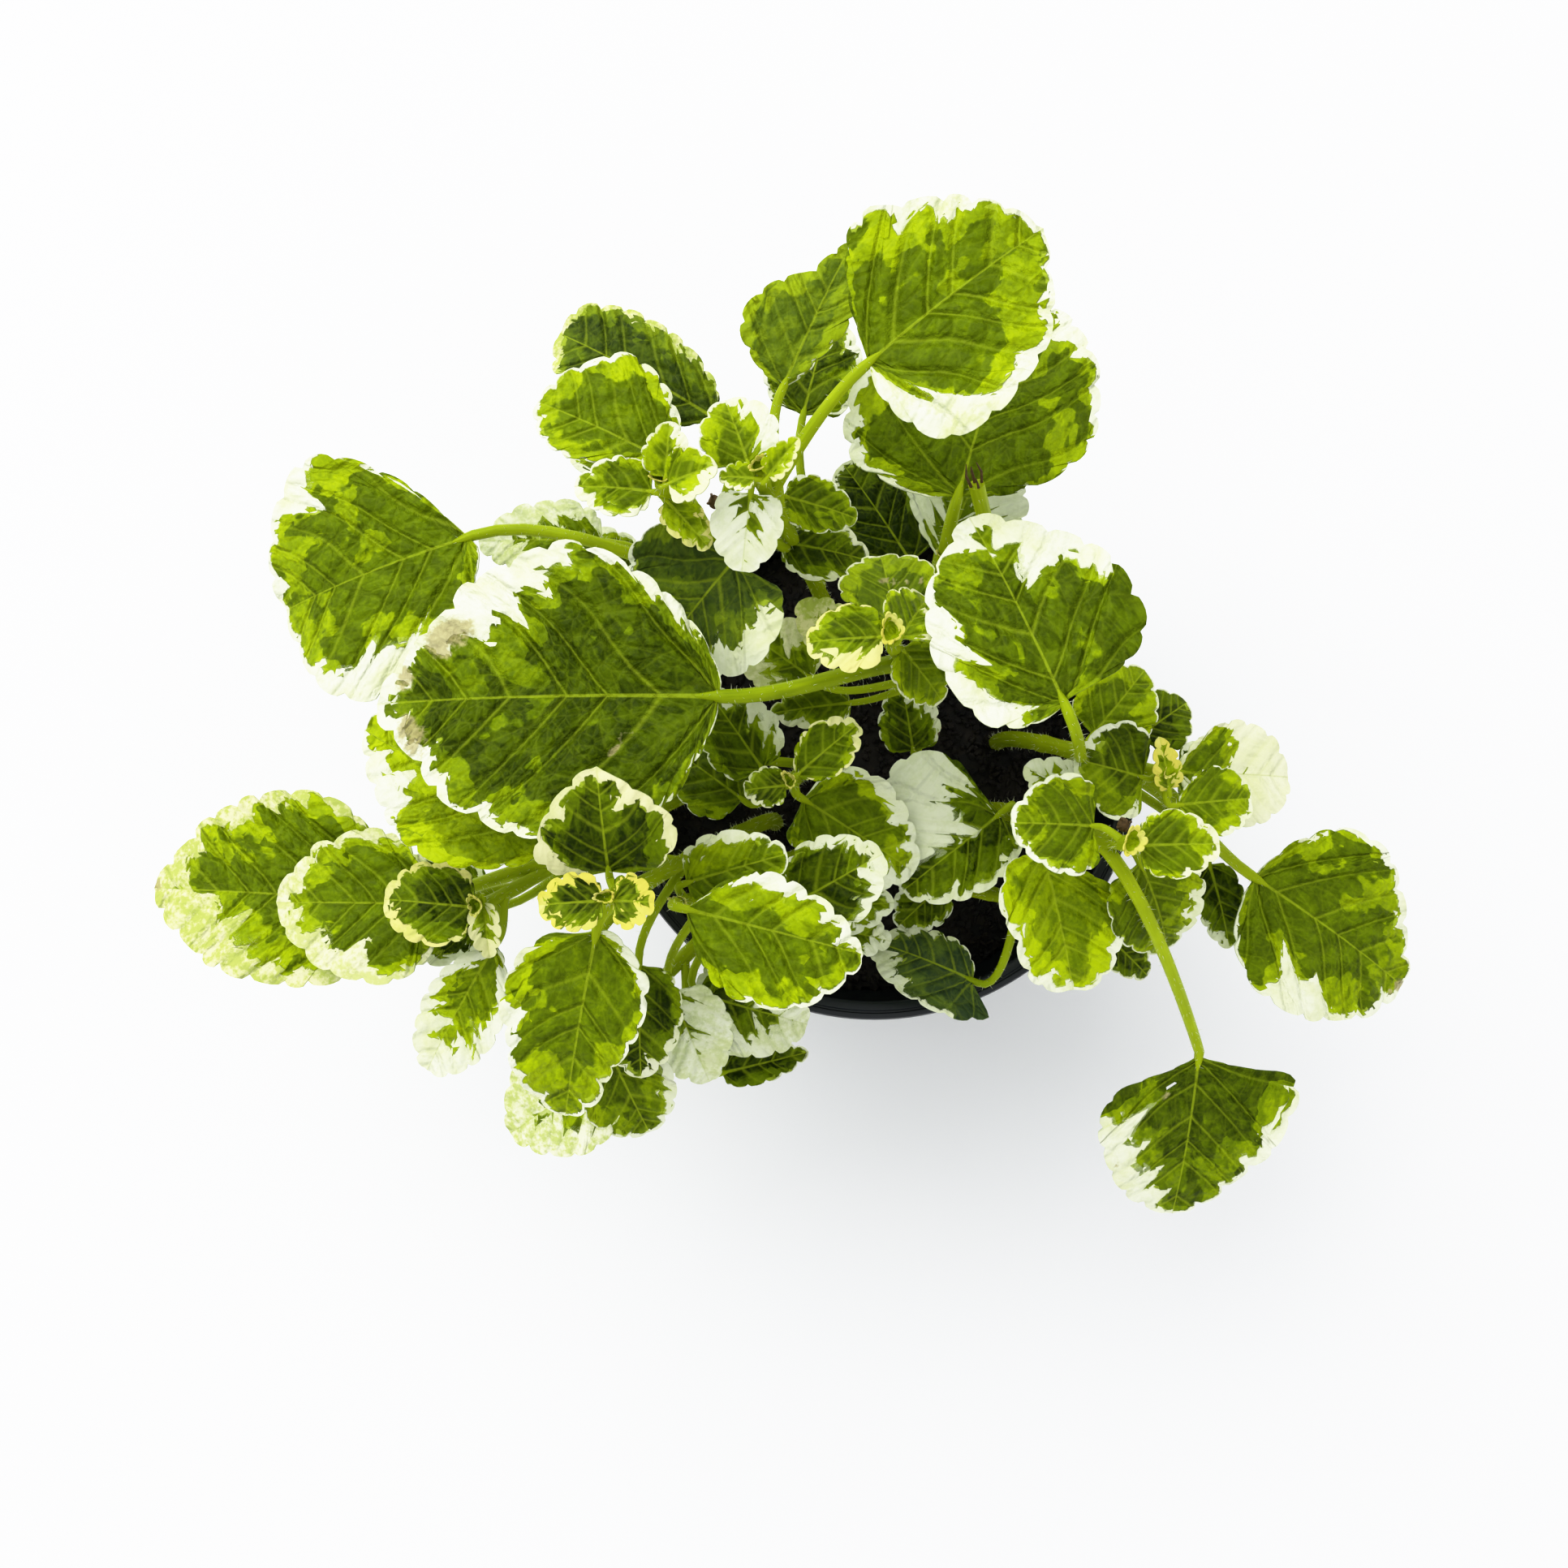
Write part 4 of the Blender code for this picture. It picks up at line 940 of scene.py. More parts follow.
def scalloped(curve, scallops, depth, rng):
    """A margin with rounded lobes and sharp notches: its stations, its points and its lobes."""
    shifts = np.pad(rng.uniform(-SCALLOP_SHIFT, SCALLOP_SHIFT, scallops - 1), 1)
    knots = (np.arange(scallops + 1) + shifts) / scallops
    phase = np.arange(scallops * ROWS_IN_SCALLOP + 1) / ROWS_IN_SCALLOP
    station = np.interp(phase, np.arange(scallops + 1), knots)
    line = smooth_line(curve, station)
    within = (phase - np.floor(phase)) ** 0.85
    lobe = np.sqrt(np.clip(1.0 - (2.0 * within - 1.0) ** 2, 0.0, 1.0))
    size = rng.uniform(*SCALLOP_SIZES, scallops + 1)[np.floor(phase).astype(int)]
    grown = faded(station, 0.06, 0.04)
    push = depth * (lobe - SCALLOP_MIDDLE) * size * grown
    course = np.gradient(line, axis=0)
    course /= np.maximum(np.linalg.norm(course, axis=1), 1e-6)[:, None]
    line = line + np.stack([-course[:, 1], course[:, 0]], axis=-1) * push[:, None]
    line[:, 1] = np.clip(line[:, 1], 0.0, None)
    return station, line, lobe * grown


def by_length(table, length):
    """The amount that a table of (longer than, amount) gives for the length of a blade."""
    return next(amount for least, amount in table if length > least)


def margin_lift(station, lobe, off, length, depth, first, second):
    """How far a flank's margin waves up and down, and how far each lobe stands up."""
    swing = np.sin(LONG_WAVE * math.pi * station + first)
    swing = swing + 0.5 * np.sin(SHORT_WAVE * math.pi * station + second)
    lift = WAVE_PER_LENGTH * length * (swing * faded(station, 0.08, 0.06))[:, None] * off ** 3
    return lift + LOBE_LIFT * depth * lobe[:, None] * off ** 4


def quilt_lift(drawn, room, off, share, length):
    """How far the sheet bulges between the side veins."""
    quilt = np.clip(QUILT_PER_LENGTH * length, FLATTEST_QUILT, HIGHEST_QUILT)
    quilt = quilt * np.sin(math.pi * (drawn - np.floor(drawn))) ** 0.7 * room
    quilt = quilt * np.clip(off * 3.0, 0.0, 1.0) * (1.0 - off ** 6)
    return quilt * np.clip((1.0 - share) * 5.0, 0.0, 1.0)


def midrib_sink(across, share, length):
    """How deep the sheet sinks at the midrib."""
    groove = GROOVE_DEPTH * min(1.0, length / GROOVE_FULL_AT) * np.clip((1.0 - share) * 1.5, 0.0, 1.0)
    return groove * np.exp(-(across / GROOVE_HALF) ** 2)


def blade_grid(leaf, place, traced, look, rng, droop):
    """The blade's sheet and the values of its points; its rows of points run along the side veins."""
    length = place[1]
    scallops = round(SCALLOPS_AT_NONE + SCALLOPS_PER_LENGTH * length)
    scallops = int(np.clip(scallops, FEWEST_SCALLOPS, MOST_SCALLOPS))
    depth = np.clip(DEPTH_AT_NONE + DEPTH_PER_LENGTH * length, SHALLOWEST, DEEPEST)
    depth = depth * (DEEPER_WHILE_YOUNG if look.young > 0.5 else 1.0)
    veins = by_length(VEINS, length)
    columns = by_length(COLUMNS, length)
    flanks = []
    origin = 0.0
    widest = 0.0
    for number, way, depths in ((0, -1.0, look.left), (1, 1.0, look.right)):
        curve = margin_curve(leaf, place, traced, number, way)
        station, line, lobe = scalloped(curve, scallops, depth, rng)
        width = line[:, 1].max()
        vein, _ = vein_field(line[:, 0], line[:, 1], length, width, veins)
        vein[0] = vein[1]
        vein = np.maximum.accumulate(vein)
        origin = origin + np.clip(vein / veins, 0.0, 1.0) / 2.0
        widest += width / 2
        flanks.append((way, depths, station, line, lobe, width, vein))
    rows = len(origin) - 1
    origin = 0.1 * np.arange(rows + 1) / rows + 0.9 * np.maximum.accumulate(origin)
    origin /= origin[-1]
    side = np.linspace(-1.0, 1.0, columns + 1)
    side = np.broadcast_to(np.sign(side) * np.abs(side) ** 0.85, (rows + 1, columns + 1))
    off = np.abs(side)
    grid = dict.fromkeys(("forward", "across", "lift", "vein", "spacing", "edge", "cream"), 0.0)
    waves = rng.uniform(0.0, 2.0 * math.pi, 2)
    for number, (way, depths, station, line, lobe, width, margin_vein) in enumerate(flanks):
        forward = origin[:, None] * length * (1.0 - off) + line[:, :1] * off
        across = line[:, 1:] * off
        vein, spacing = vein_field(forward, across, length, width, veins)
        end = np.interp(vein, margin_vein, station)
        back = forward - np.interp(end, station, line[:, 0])
        aside = across - np.interp(end, station, line[:, 1])
        tongue = np.interp(end, station, lobe)
        cream = np.interp(end, (np.arange(len(depths)) + 0.5) / len(depths), np.array(depths) / 100)
        cream = cream * (0.82 + 0.55 * cream) * widest * (1.2 - 0.45 * tongue)
        share = np.clip(forward / length, 0.0, 1.0)

        # The side veins wander a little
        sway = (0.5 * way * across + 0.3 * forward) * veins / length * 3.0 + waves[1]
        drawn = vein + 0.16 * np.sin(2.1 * vein + waves[0]) + 0.12 * np.sin(sway) + FIRST_VEIN
        room = np.clip(spacing * veins / length * 1.4, 0.0, 1.0)
        lift = margin_lift(station, lobe, off, length, depth, waves[number], waves[1 - number])
        lift = lift + across * leaf.fold
        lift = lift + quilt_lift(drawn, room, off, share, length) - midrib_sink(across, share, length)
        lift = lift + leaf.arch * length * 4 * share * (1.0 - share) - droop * length * share ** 2
        there = side * way >= 0
        found = {"forward": forward, "across": way * across, "lift": lift, "vein": drawn,
                 "spacing": spacing, "edge": np.hypot(back, aside), "cream": cream}
        for name, value in found.items():
            grid[name] = np.where(there, value, grid[name])
    return side, grid, widest


def tear(forward, across, spot, radius):
    """A ragged hole: which cells of the sheet go, and the sheet's points drawn to the hole's edge."""
    cells = [(field[:-1, :-1] + field[1:, 1:]) / 2 for field in (forward, across)]
    apart = np.hypot(cells[0] - spot[0], cells[1] - spot[1])
    row, column = np.unravel_index(np.argmin(apart), apart.shape)
    torn = np.zeros(apart.shape, bool)
    torn[row - 1:row + 2, column] = True
    edge = np.zeros(forward.shape, bool)
    edge[row - 1:row + 3, column:column + 2] = True
    middle = cells[0][row, column], cells[1][row, column]
    turn = np.arctan2(across - middle[1], forward - middle[0])
    reach = radius * (1.0 + HOLE_RAGGED * np.sin(3.0 * turn + 1.0))
    forward = np.where(edge, middle[0] + reach * np.cos(turn), forward)
    across = np.where(edge, middle[1] + reach * np.sin(turn), across)
    return torn, forward, across


def sheet_faces(index, torn, size):
    """The faces of a closed sheet: its upper side, its lower side, whose points come as many as size
    later, and the walls round its margin and round the cells that are torn out."""
    rows, columns = torn.shape
    faces = []
    for row in range(rows):
        for column in range(columns):
            quad = (index[row, column], index[row, column + 1],
                    index[row + 1, column + 1], index[row + 1, column])
            corners = list(dict.fromkeys(int(corner) for corner in quad))
            if torn[row, column]:
                beside = (torn[row - 1, column], torn[row, column + 1],
                          torn[row + 1, column], torn[row, column - 1])
                for one, after, open_too in zip(corners, corners[1:] + corners[:1], beside):
                    if not open_too:
                        faces.append([one, after, after + size, one + size])
                continue
            faces.append(corners)
            faces.append([corner + size for corner in reversed(corners)])
        low, high = int(index[row, columns]), int(index[row + 1, columns])
        faces.append([low, low + size, high + size, high])
        low, high = int(index[row, 0]), int(index[row + 1, 0])
        faces.append([low, high, high + size, low + size])
    return faces


def add_blade(body, leaf, look, number, rng, key):
    """One fine blade, closed, with a raised rib below."""
    place = leaf_frame(leaf)
    base, length, along, right, out = place
    side, grid, widest = blade_grid(leaf, place, MARGINS.get(key), look, rng, DROOPS.get(key, 0.0))
    forward, across = grid["forward"], grid["across"]
    rows, columns = forward.shape[0] - 1, forward.shape[1] - 1
    torn = np.zeros((rows, columns), bool)
    if key in HOLES:
        hole_across, hole_down, radius = HOLES[key]
        torn, forward, across = tear(forward, across, on_blade(hole_across, hole_down, place), radius)
    share = np.clip(forward / length, 0.0, 1.0)
    wear = np.zeros_like(share)
    for spot_across, spot_down, radius in SPOTS.get(key, ()):
        spot = on_blade(spot_across, spot_down, place)
        apart = (forward - spot[0]) ** 2 + (across - spot[1]) ** 2
        wear = np.maximum(wear, np.exp(-apart / radius ** 2))
    base, along, right, out = (np.array(vector) for vector in (base, along, right, out))
    middle = base + along * forward[..., None] + right * across[..., None] + out * grid["lift"][..., None]
    thick = THICK_AT_MARGIN + (THICK_IN_MIDDLE - THICK_AT_MARGIN) * (1.0 - np.abs(side)) ** 2
    rib = RIB_HEIGHT * np.exp(-(across / RIB_HALF) ** 2) * np.clip(1.15 - share, 0.0, 1.0)
    rib = rib * min(1.0, length / RIB_FULL_AT)
    upper = middle + out * (thick / 2)[..., None]
    lower = middle - out * (thick / 2 + rib)[..., None]
    weave = np.stack([(grid["vein"] - FIRST_VEIN) * length * WEAVE_ALONG, across,
                      np.full_like(share, WEAVE_APART * number)], axis=-1)

    # The first and the last row are one point each
    size = (rows - 1) * (columns + 1) + 2
    index = np.zeros((rows + 1, columns + 1), int)
    index[1:rows] = np.arange((rows - 1) * (columns + 1)).reshape(rows - 1, columns + 1) + 1
    index[rows] = size - 1

    def flat(field):
        return np.concatenate([field[:1, columns // 2], field[1:rows].reshape(-1, *field.shape[2:]),
                               field[rows:, columns // 2]])

    uv = np.stack([flat(share), (flat(side) + 1.0) / 2.0], axis=-1)
    rib_width = (1.0 + 2.0 * flat(share)) * 45 / max(45, length)
    twice = {name: flat(grid[name]) for name in ("vein", "spacing", "edge", "cream")}
    twice["wear"] = flat(wear)
    twice["rib"] = np.abs(flat(across)) * rib_width
    values = {name: np.concatenate([value, value]) for name, value in twice.items()}
    values["under"] = np.concatenate([np.zeros(size), np.ones(size)])
    faces = sheet_faces(index, torn, size)
    loose = LOOSE_WHERE_FEW if len(look.left) < FEW_DEPTHS else LOOSE_WHERE_MANY
    body.add(np.concatenate([flat(upper), flat(lower)]), np.concatenate([uv, uv]), faces, LEAF_SLOT,
             weave=np.concatenate([flat(weave), flat(weave)]), tone=look.tone, young=look.young,
             mottle=look.mottle, grey=look.grey, span=widest, loose=loose, **values)


def ring_faces(rings, sides):
    """The faces of a tube of rings, closed at both ends."""
    faces = []
    for ring in range(rings - 1):
        for step in range(sides):
            after = (step + 1) % sides
            faces.append([ring * sides + step, ring * sides + after,
                          (ring + 1) * sides + after, (ring + 1) * sides + step])
    faces.append(list(range(sides))[::-1])
    faces.append([(rings - 1) * sides + step for step in range(sides)])
    return faces


def add_tube(body, points, radii, sides, slot, corners=0.0, **values):
    """A closed tube along the points, with its cross-section squared off by corners."""
    points = [Vector(point) for point in points]
    across = None
    rings = []
    uvs = []
    run = 0.0
    for number, point in enumerate(points):
        ahead = points[min(number + 1, len(points) - 1)]
        behind = points[max(number - 1, 0)]
        course = (ahead - behind).normalized()
        if across is None:
            across = course.cross(Vector((0.3, 0.9, 0.2))).normalized()
        across = (across - course * across.dot(course)).normalized()
        above = course.cross(across)
        if number:
            run += (point - points[number - 1]).length
        for step in range(sides):
            angle = 2 * math.pi * step / sides
            swell = 1.0 + corners * math.cos(4 * angle)
            spoke = across * math.cos(angle) + above * math.sin(angle)
            rings.append(point + spoke * (radii[number] * swell))
            uvs.append((step / sides, run / 10.0))
    body.add(np.array(rings), np.array(uvs), ring_faces(len(points), sides), slot, **values)


def stalk_path(stem, leaf, bend):
    """Middle points of the leaf stalk, from inside the stem to under the blade."""
    start = stem_point(stem, leaf.along)
    base, length, along, _, out = leaf_frame(leaf)
    rise = leaf.arch * length * 4 * ARCH_READ_AT * (1.0 - ARCH_READ_AT)
    heading = (along * (ARCH_READ_AT * length) + out * rise).normalized()
    end = base - heading * STALK_STOP
    reach = (end - start).length
    level = Vector((end.x - start.x, end.y - start.y, 0.0))
    leave = start + level * bend[0] + Vector((0.0, 0.0, bend[1] * reach))
    arrive = end - heading * (bend[2] * reach)
    shares = [step / STALK_STEPS for step in range(STALK_STEPS + 1)]
    points = [bezier(start, leave, arrive, end, share) for share in shares]
    for share, further, below, _ in STALK_ENDS:
        points.append(base + heading * (share * length + further) - out * below)
    return points, length


def add_stalk(body, stem, leaf, look, key):
    """A leaf stalk, which thins towards the blade and runs out under it."""
    points, length = stalk_path(stem, leaf, STALK_BENDS.get(key, USUAL_BEND))
    thick = min(THICKEST_STALK, max(THINNEST_STALK, STALK_AT_NONE + STALK_PER_LENGTH * length))
    radii = [thick * (STALK_FOOT - STALK_TAPER * (step / STALK_STEPS)) for step in range(STALK_STEPS + 1)]
    radii += [thick * part for _, _, _, part in STALK_ENDS]
    add_tube(body, points, radii, STALK_SIDES, STALK_SLOT, tone=STALK_TONES.get(key, look.tone))


def add_cup(body, stem, number, size):
    """The cup that the youngest two leaves form at the stem's top, with a scalloped rim."""
    top = stem_point(stem, 1.0)
    up = (top - stem_point(stem, 0.96)).normalized()
    turn = CUP_TURN * number
    first = up.cross(Vector((math.cos(turn), math.sin(turn), 0.1))).normalized()
    second = up.cross(first)
    rings = []
    edges = []
    for width, height, crimp in CUP_SECTION:
        for step in range(CUP_STEPS):
            angle = 2 * math.pi * step / CUP_STEPS
            lobe = abs(math.sin(CUP_SCALLOPS * angle / 2)) ** 0.6 - 0.5
            dent = 1.0 - 0.22 * (1.0 - size) * math.cos(2.0 * angle) - 0.12 * math.sin(3.0 * angle + turn)
            swell = width * size * dent * (1.0 + 0.16 * crimp * lobe)
            spoke = first * (math.cos(angle) * CUP_WIDTH) + second * (math.sin(angle) * CUP_BREADTH)
            rings.append(top + spoke * swell + up * (height * (0.4 + 0.6 * size) + 0.5 * crimp * lobe))
            edges.append((1.0 - crimp) * 2.2)
    points = np.array(rings)
    body.add(points, np.zeros((len(points), 2)), ring_faces(len(CUP_SECTION), CUP_STEPS), LEAF_SLOT,
             tone=0.55, young=1.0, cream=1.15, edge=np.array(edges), rib=5.0, vein=0.5, spacing=4.0,
             mottle=0.3)


def add_fibres(body, top, up, reaches, ring):
    """Short dried fibres that stand in a ring round a scar."""
    for number, reach in enumerate(reaches):
        turn = 0.4 + FIBRE_TURN * number
        spoke = Vector((math.cos(turn), math.sin(turn), 0.0))
        points = [top + spoke * ring - up * 0.6, top + spoke * (ring + 0.5) + up * reach * 0.5,
                  top + spoke * ring + up * reach]
        add_tube(body, points, FIBRE_RADII, FIBRE_SIDES, DRY_SLOT)


def make_stem(name, stem, materials, first):
    """A leafy stem: its own square stem, the stalks, the blades and the cup at its top."""
    body = Body()
    shares = [step / STEM_STEPS for step in range(STEM_STEPS + 1)]
    points = [Vector((*stem.root, MIX_TOP - STEM_DEPTH))]
    radii = [STEM_RADIUS]
    for share in shares:
        points.append(stem_point(stem, share))
        swell = sum(math.exp(-((share - leaf.along) / SWELL_REACH) ** 2) for leaf in stem.leaves)
        thick = STEM_RADIUS + (STEM_TOP_RADIUS - STEM_RADIUS) * share
        radii.append(thick + SWELL_RADIUS * min(1.0, swell))
    add_tube(body, points, radii, STEM_SIDES, STALK_SLOT, corners=0.05, tone=0.3)
    for number, (leaf, look) in enumerate(zip(stem.leaves, LOOKS[name])):
        add_stalk(body, stem, leaf, look, (name, number))
        rng = np.random.default_rng(BLADE_SEED + first + number)
        add_blade(body, leaf, look, first + number, rng, (name, number))
    if name in CUT_STALKS:
        share, midway, end = CUT_STALKS[name]
        places = [stem_point(stem, share), sight(*midway), sight(*end)]
        add_tube(body, places, [CUT_STALK_RADIUS] * 3, STALK_SIDES, STALK_SLOT, tone=CUT_STALK_TONE)
        up = (places[-1] - places[-2]).normalized()
        add_fibres(body, places[-1], up, SCAR_FIBRES, SCAR_RING)
    for place in KNOTS.get(name, ()):
        top = sight(*place)
        points = [top + LENS_UP * away for away, _ in KNOT_SECTION]
        add_tube(body, points, [radius for _, radius in KNOT_SECTION], KNOT_SIDES, DRY_SLOT)
        add_fibres(body, top, -LENS_AIM, KNOT_FIBRES, KNOT_RING)
    add_cup(body, stem, first, WIDE_CUPS.get(name, USUAL_CUP))
    return body.make(name + "_fine", materials)


def leaf_material(props):
    """Variegated leaf blade: soft living tissue with a waxy, faintly hairy skin.

    The pale margin has lost its green, so it is cut off in blocks along the side veins. The
    quilted skin scatters light softly, and the sunk veins show as lighter lines. A pattern's
    scale is one over its size, in millimetres on the weave and in metres on the object.
    """
    material, add = new_material("Variegated living leaf")
    value = {name: add("ShaderNodeAttribute", output=FACTOR, attribute_name=name) for name in Body.VALUES}
    weave = add("ShaderNodeAttribute", output=VECTOR, attribute_name="weave")

    # The weave leans with the side veins; here it is squared up, and differs on the two flanks
    place = add("ShaderNodeSeparateXYZ", {0: weave}).node.outputs
    flank = add(MATH, {0: place[1]}, operation="SIGN")
    far = add(MATH, {0: place[1]}, operation="ABSOLUTE")
    along = add(MATH, {0: place[0], 1: 0.7}, operation="MULTIPLY")
    along = add(MATH, {0: far, 1: 1.25, 2: along}, operation="MULTIPLY_ADD")
    apart = add(MATH, {0: flank, 1: 3.1, 2: place[2]}, operation="MULTIPLY_ADD")
    square = add("ShaderNodeCombineXYZ", {0: place[0], 1: along, 2: apart})

    # Small many-sided patches, as the finest veins enclose them, and clouds of three sizes
    patches = add(CELLS, {"Vector": square, "Scale": 1.0 / props.patch_size, "Randomness": 0.9},
                  output=1)
    patch = add("ShaderNodeSeparateColor", {0: patches}).node.outputs
    clouds = add(NOISE, {"Vector": square, "Scale": 1.0 / 7.0, "Detail": 2.0, "Roughness": 0.5})
    blots = add(NOISE, {"Vector": square, "Scale": 1.0 / 3.2, "Detail": 3.0, "Roughness": 0.55})
    here = add("ShaderNodeTexCoord", output=OBJECT)
    fine = add(NOISE, {"Vector": here, "Scale": 1.0 / (0.9 * MM), "Detail": 2.0, "Roughness": 0.6})

    # How deep the pale margin reaches here, in millimetres
    field = add(MATH, {0: value["vein"]}, operation="FLOOR")
    within = add(MATH, {0: value["vein"]}, operation="FRACT")
    key = add(MATH, {0: place[2], 1: 13.7, 2: field}, operation="MULTIPLY_ADD")
    key = add(MATH, {0: flank, 1: 0.37, 2: key}, operation="MULTIPLY_ADD")
    chance = add("ShaderNodeTexWhiteNoise", {"W": key}, noise_dimensions="1D")
    swell = add(MATH, {0: within, 1: math.pi}, operation="MULTIPLY")
    swell = add(MATH, {0: swell}, operation="SINE")
    change = add(MATH, {0: swell, 1: 0.7, 2: -0.85}, operation="MULTIPLY_ADD")
    change = add(MATH, {0: chance, 1: 0.9, 2: change}, operation="MULTIPLY_ADD")
    change = add(MATH, {0: change, 1: value["loose"], 2: 1.0}, operation="MULTIPLY_ADD")
    reach = add(MATH, {0: value["cream"], 1: change}, operation="MULTIPLY")
    ragged = add(MATH, {0: patch[0], 1: 0.5}, operation="SUBTRACT")
    allowed = add(MATH, {0: value["cream"], 1: 2.4}, operation="MINIMUM")
    reach = add(MATH, {0: ragged, 1: allowed, 2: reach}, operation="MULTIPLY_ADD")
    crumb = add(MATH, {0: fine, 1: 0.5}, operation="SUBTRACT")
    reach = add(MATH, {0: crumb, 1: 0.6, 2: reach}, operation="MULTIPLY_ADD")
    over = add(MATH, {0: reach, 1: value["edge"]}, operation="SUBTRACT")
    some = add(RANGE, {"Value": value["cream"], "From Min": 0.0, "From Max": 0.25})
    pale = add(RANGE, {"Value": over, "From Min": -0.08, "From Max": 0.10})
    pale = add(MATH, {0: pale, 1: some}, operation="MULTIPLY")

    # Beyond it only the lower layers are green, in steps, and the middle is green all through
    wander = add(MATH, {0: clouds, 1: 2.4, 2: -0.98}, operation="MULTIPLY_ADD")
    wander = add(MATH, {0: wander, 1: value["span"]}, operation="MULTIPLY")
    wander = add(MATH, {0: patch[1], 1: 2.2, 2: wander}, operation="MULTIPLY_ADD")
    second = add(MATH, {0: over, 1: wander}, operation="ADD")
    light = add(RANGE, {"Value": second, "From Min": -0.6, "From Max": 0.7})
    out = add(MATH, {0: far, 1: value["span"]}, operation="DIVIDE")
    calmer = add(RANGE, {"Value": out, "From Max": 0.8, "To Min": 0.25, "To Max": 0.42})
    lag = add(MATH, {0: patch[2], 1: 4.5, 2: -3.4}, operation="MULTIPLY_ADD")
    lag = add(MATH, {0: lag, 1: over}, operation="ADD")
    half_way = add(RANGE, {"Value": lag, "From Min": 0.0, "From Max": 0.2, "To Max": 0.7})
    half_way = add(MATH, {0: half_way, 1: some}, operation="MULTIPLY")

    # Greens, blotched between the veins
    blot = add(RANGE, {"Value": blots, "From Min": 0.46, "From Max": 0.56,
                       "To Min": -0.10, "To Max": 0.06})
    shade = add(MATH, {0: light, 1: calmer, 2: blot}, operation="MULTIPLY_ADD")
    shade = add(MATH, {0: crumb, 1: 0.35, 2: shade}, operation="MULTIPLY_ADD")
    # The tone moves a blade along the greens: partly its own green, partly painted shade where it lies in
    # shade
    shade = add(MATH, {0: value["tone"], 1: 0.75, 2: shade}, operation="MULTIPLY_ADD")
    greens = add("ShaderNodeValToRGB", {"Fac": shade})
    ramp = greens.node.color_ramp
    ramp.elements[0].color = props.deep_green
    ramp.elements[1].color = props.bright_green
    ramp.elements.new(0.5).color = props.middle_green
    # Greying is partly the real grey-green of dull blades, partly painted sky sheen and painted shade
    sheen_greyed = add(MIX, {0: value["grey"], 6: greens, 7: props.grey_sheen_green}, **COLOURS)
    green = add(MIX, {0: half_way, 6: sheen_greyed, 7: props.half_green}, **COLOURS)

    # Pale tissue, yellow while it is young, and mottled where some green is left in it
    pale_tint = add(MIX, {0: value["young"], 6: props.cream, 7: props.young_yellow}, **COLOURS)
    stained = add(RANGE, {"Value": clouds, "From Min": 0.45, "From Max": 0.70, "To Max": 0.5})
    stain = add(MIX, {0: stained, 6: pale_tint, 7: props.cream_stain}, **COLOURS)
    specks = add(MATH, {0: fine, 1: 0.7, 2: blots}, operation="MULTIPLY_ADD")
    specks = add(MATH, {0: value["mottle"], 1: 0.16, 2: specks}, operation="MULTIPLY_ADD")
    specks = add(RANGE, {"Value": specks, "From Min": 0.84, "From Max": 1.06, "To Max": 0.85})
    specks = add(MATH, {0: specks, 1: value["mottle"]}, operation="MULTIPLY")
    pale_colour = add(MIX, {0: specks, 6: stain, 7: props.mottle_green}, **COLOURS)
    colour = add(MIX, {0: pale, 6: green, 7: pale_colour}, **COLOURS)

    # Side veins, midrib and the finest net
    rest = add(MATH, {0: 1.0, 1: within}, operation="SUBTRACT")
    near = add(MATH, {0: within, 1: rest}, operation="MINIMUM")
    near = add(MATH, {0: near, 1: value["spacing"]}, operation="MULTIPLY")
    near = add(MATH, {0: crumb, 1: 0.5, 2: near}, operation="MULTIPLY_ADD")
    reach_of_vein = add(RANGE, {"Value": out, "To Min": 0.42, "To Max": 0.18})
    strength = add(RANGE, {"Value": out, "To Min": 0.40, "To Max": 0.12})
    side_vein = add(RANGE, {"Value": near, "From Min": 0.04, "From Max": reach_of_vein,
                            "To Min": strength, "To Max": 0.0})
    rib = add(RANGE, {"Value": value["rib"], "From Min": 0.20, "From Max": 0.50,
                      "To Min": 1.0, "To Max": 0.0})
    net = add(CELLS, {"Vector": square, "Scale": 1.0 / (props.patch_size * 1.5)},
              feature="DISTANCE_TO_EDGE")
    net_line = add(RANGE, {"Value": net, "From Min": 0.0, "From Max": 0.10,
                           "To Min": 0.07, "To Max": 0.0})
    branch = add(CELLS, {"Vector": square, "Scale": 1.0 / (props.patch_size * 3.4)},
                 feature="DISTANCE_TO_EDGE")
    branch_line = add(RANGE, {"Value": branch, "From Min": 0.005, "From Max": 0.05,
                              "To Min": 0.10, "To Max": 0.0})
    lines = add(MATH, {0: side_vein, 1: net_line}, operation="MAXIMUM")
    lines = add(MATH, {0: lines, 1: branch_line}, operation="MAXIMUM")
    strong = add(MATH, {0: rib, 1: 0.6}, operation="MULTIPLY")
    lines = add(MATH, {0: lines, 1: strong}, operation="MAXIMUM")
    softer = add(RANGE, {"Value": pale, "To Min": 1.0, "To Max": 0.35})
    lines = add(MATH, {0: lines, 1: softer}, operation="MULTIPLY")
    veined = add(MIX, {0: lines, 6: colour, 7: props.vein_green}, **COLOURS)

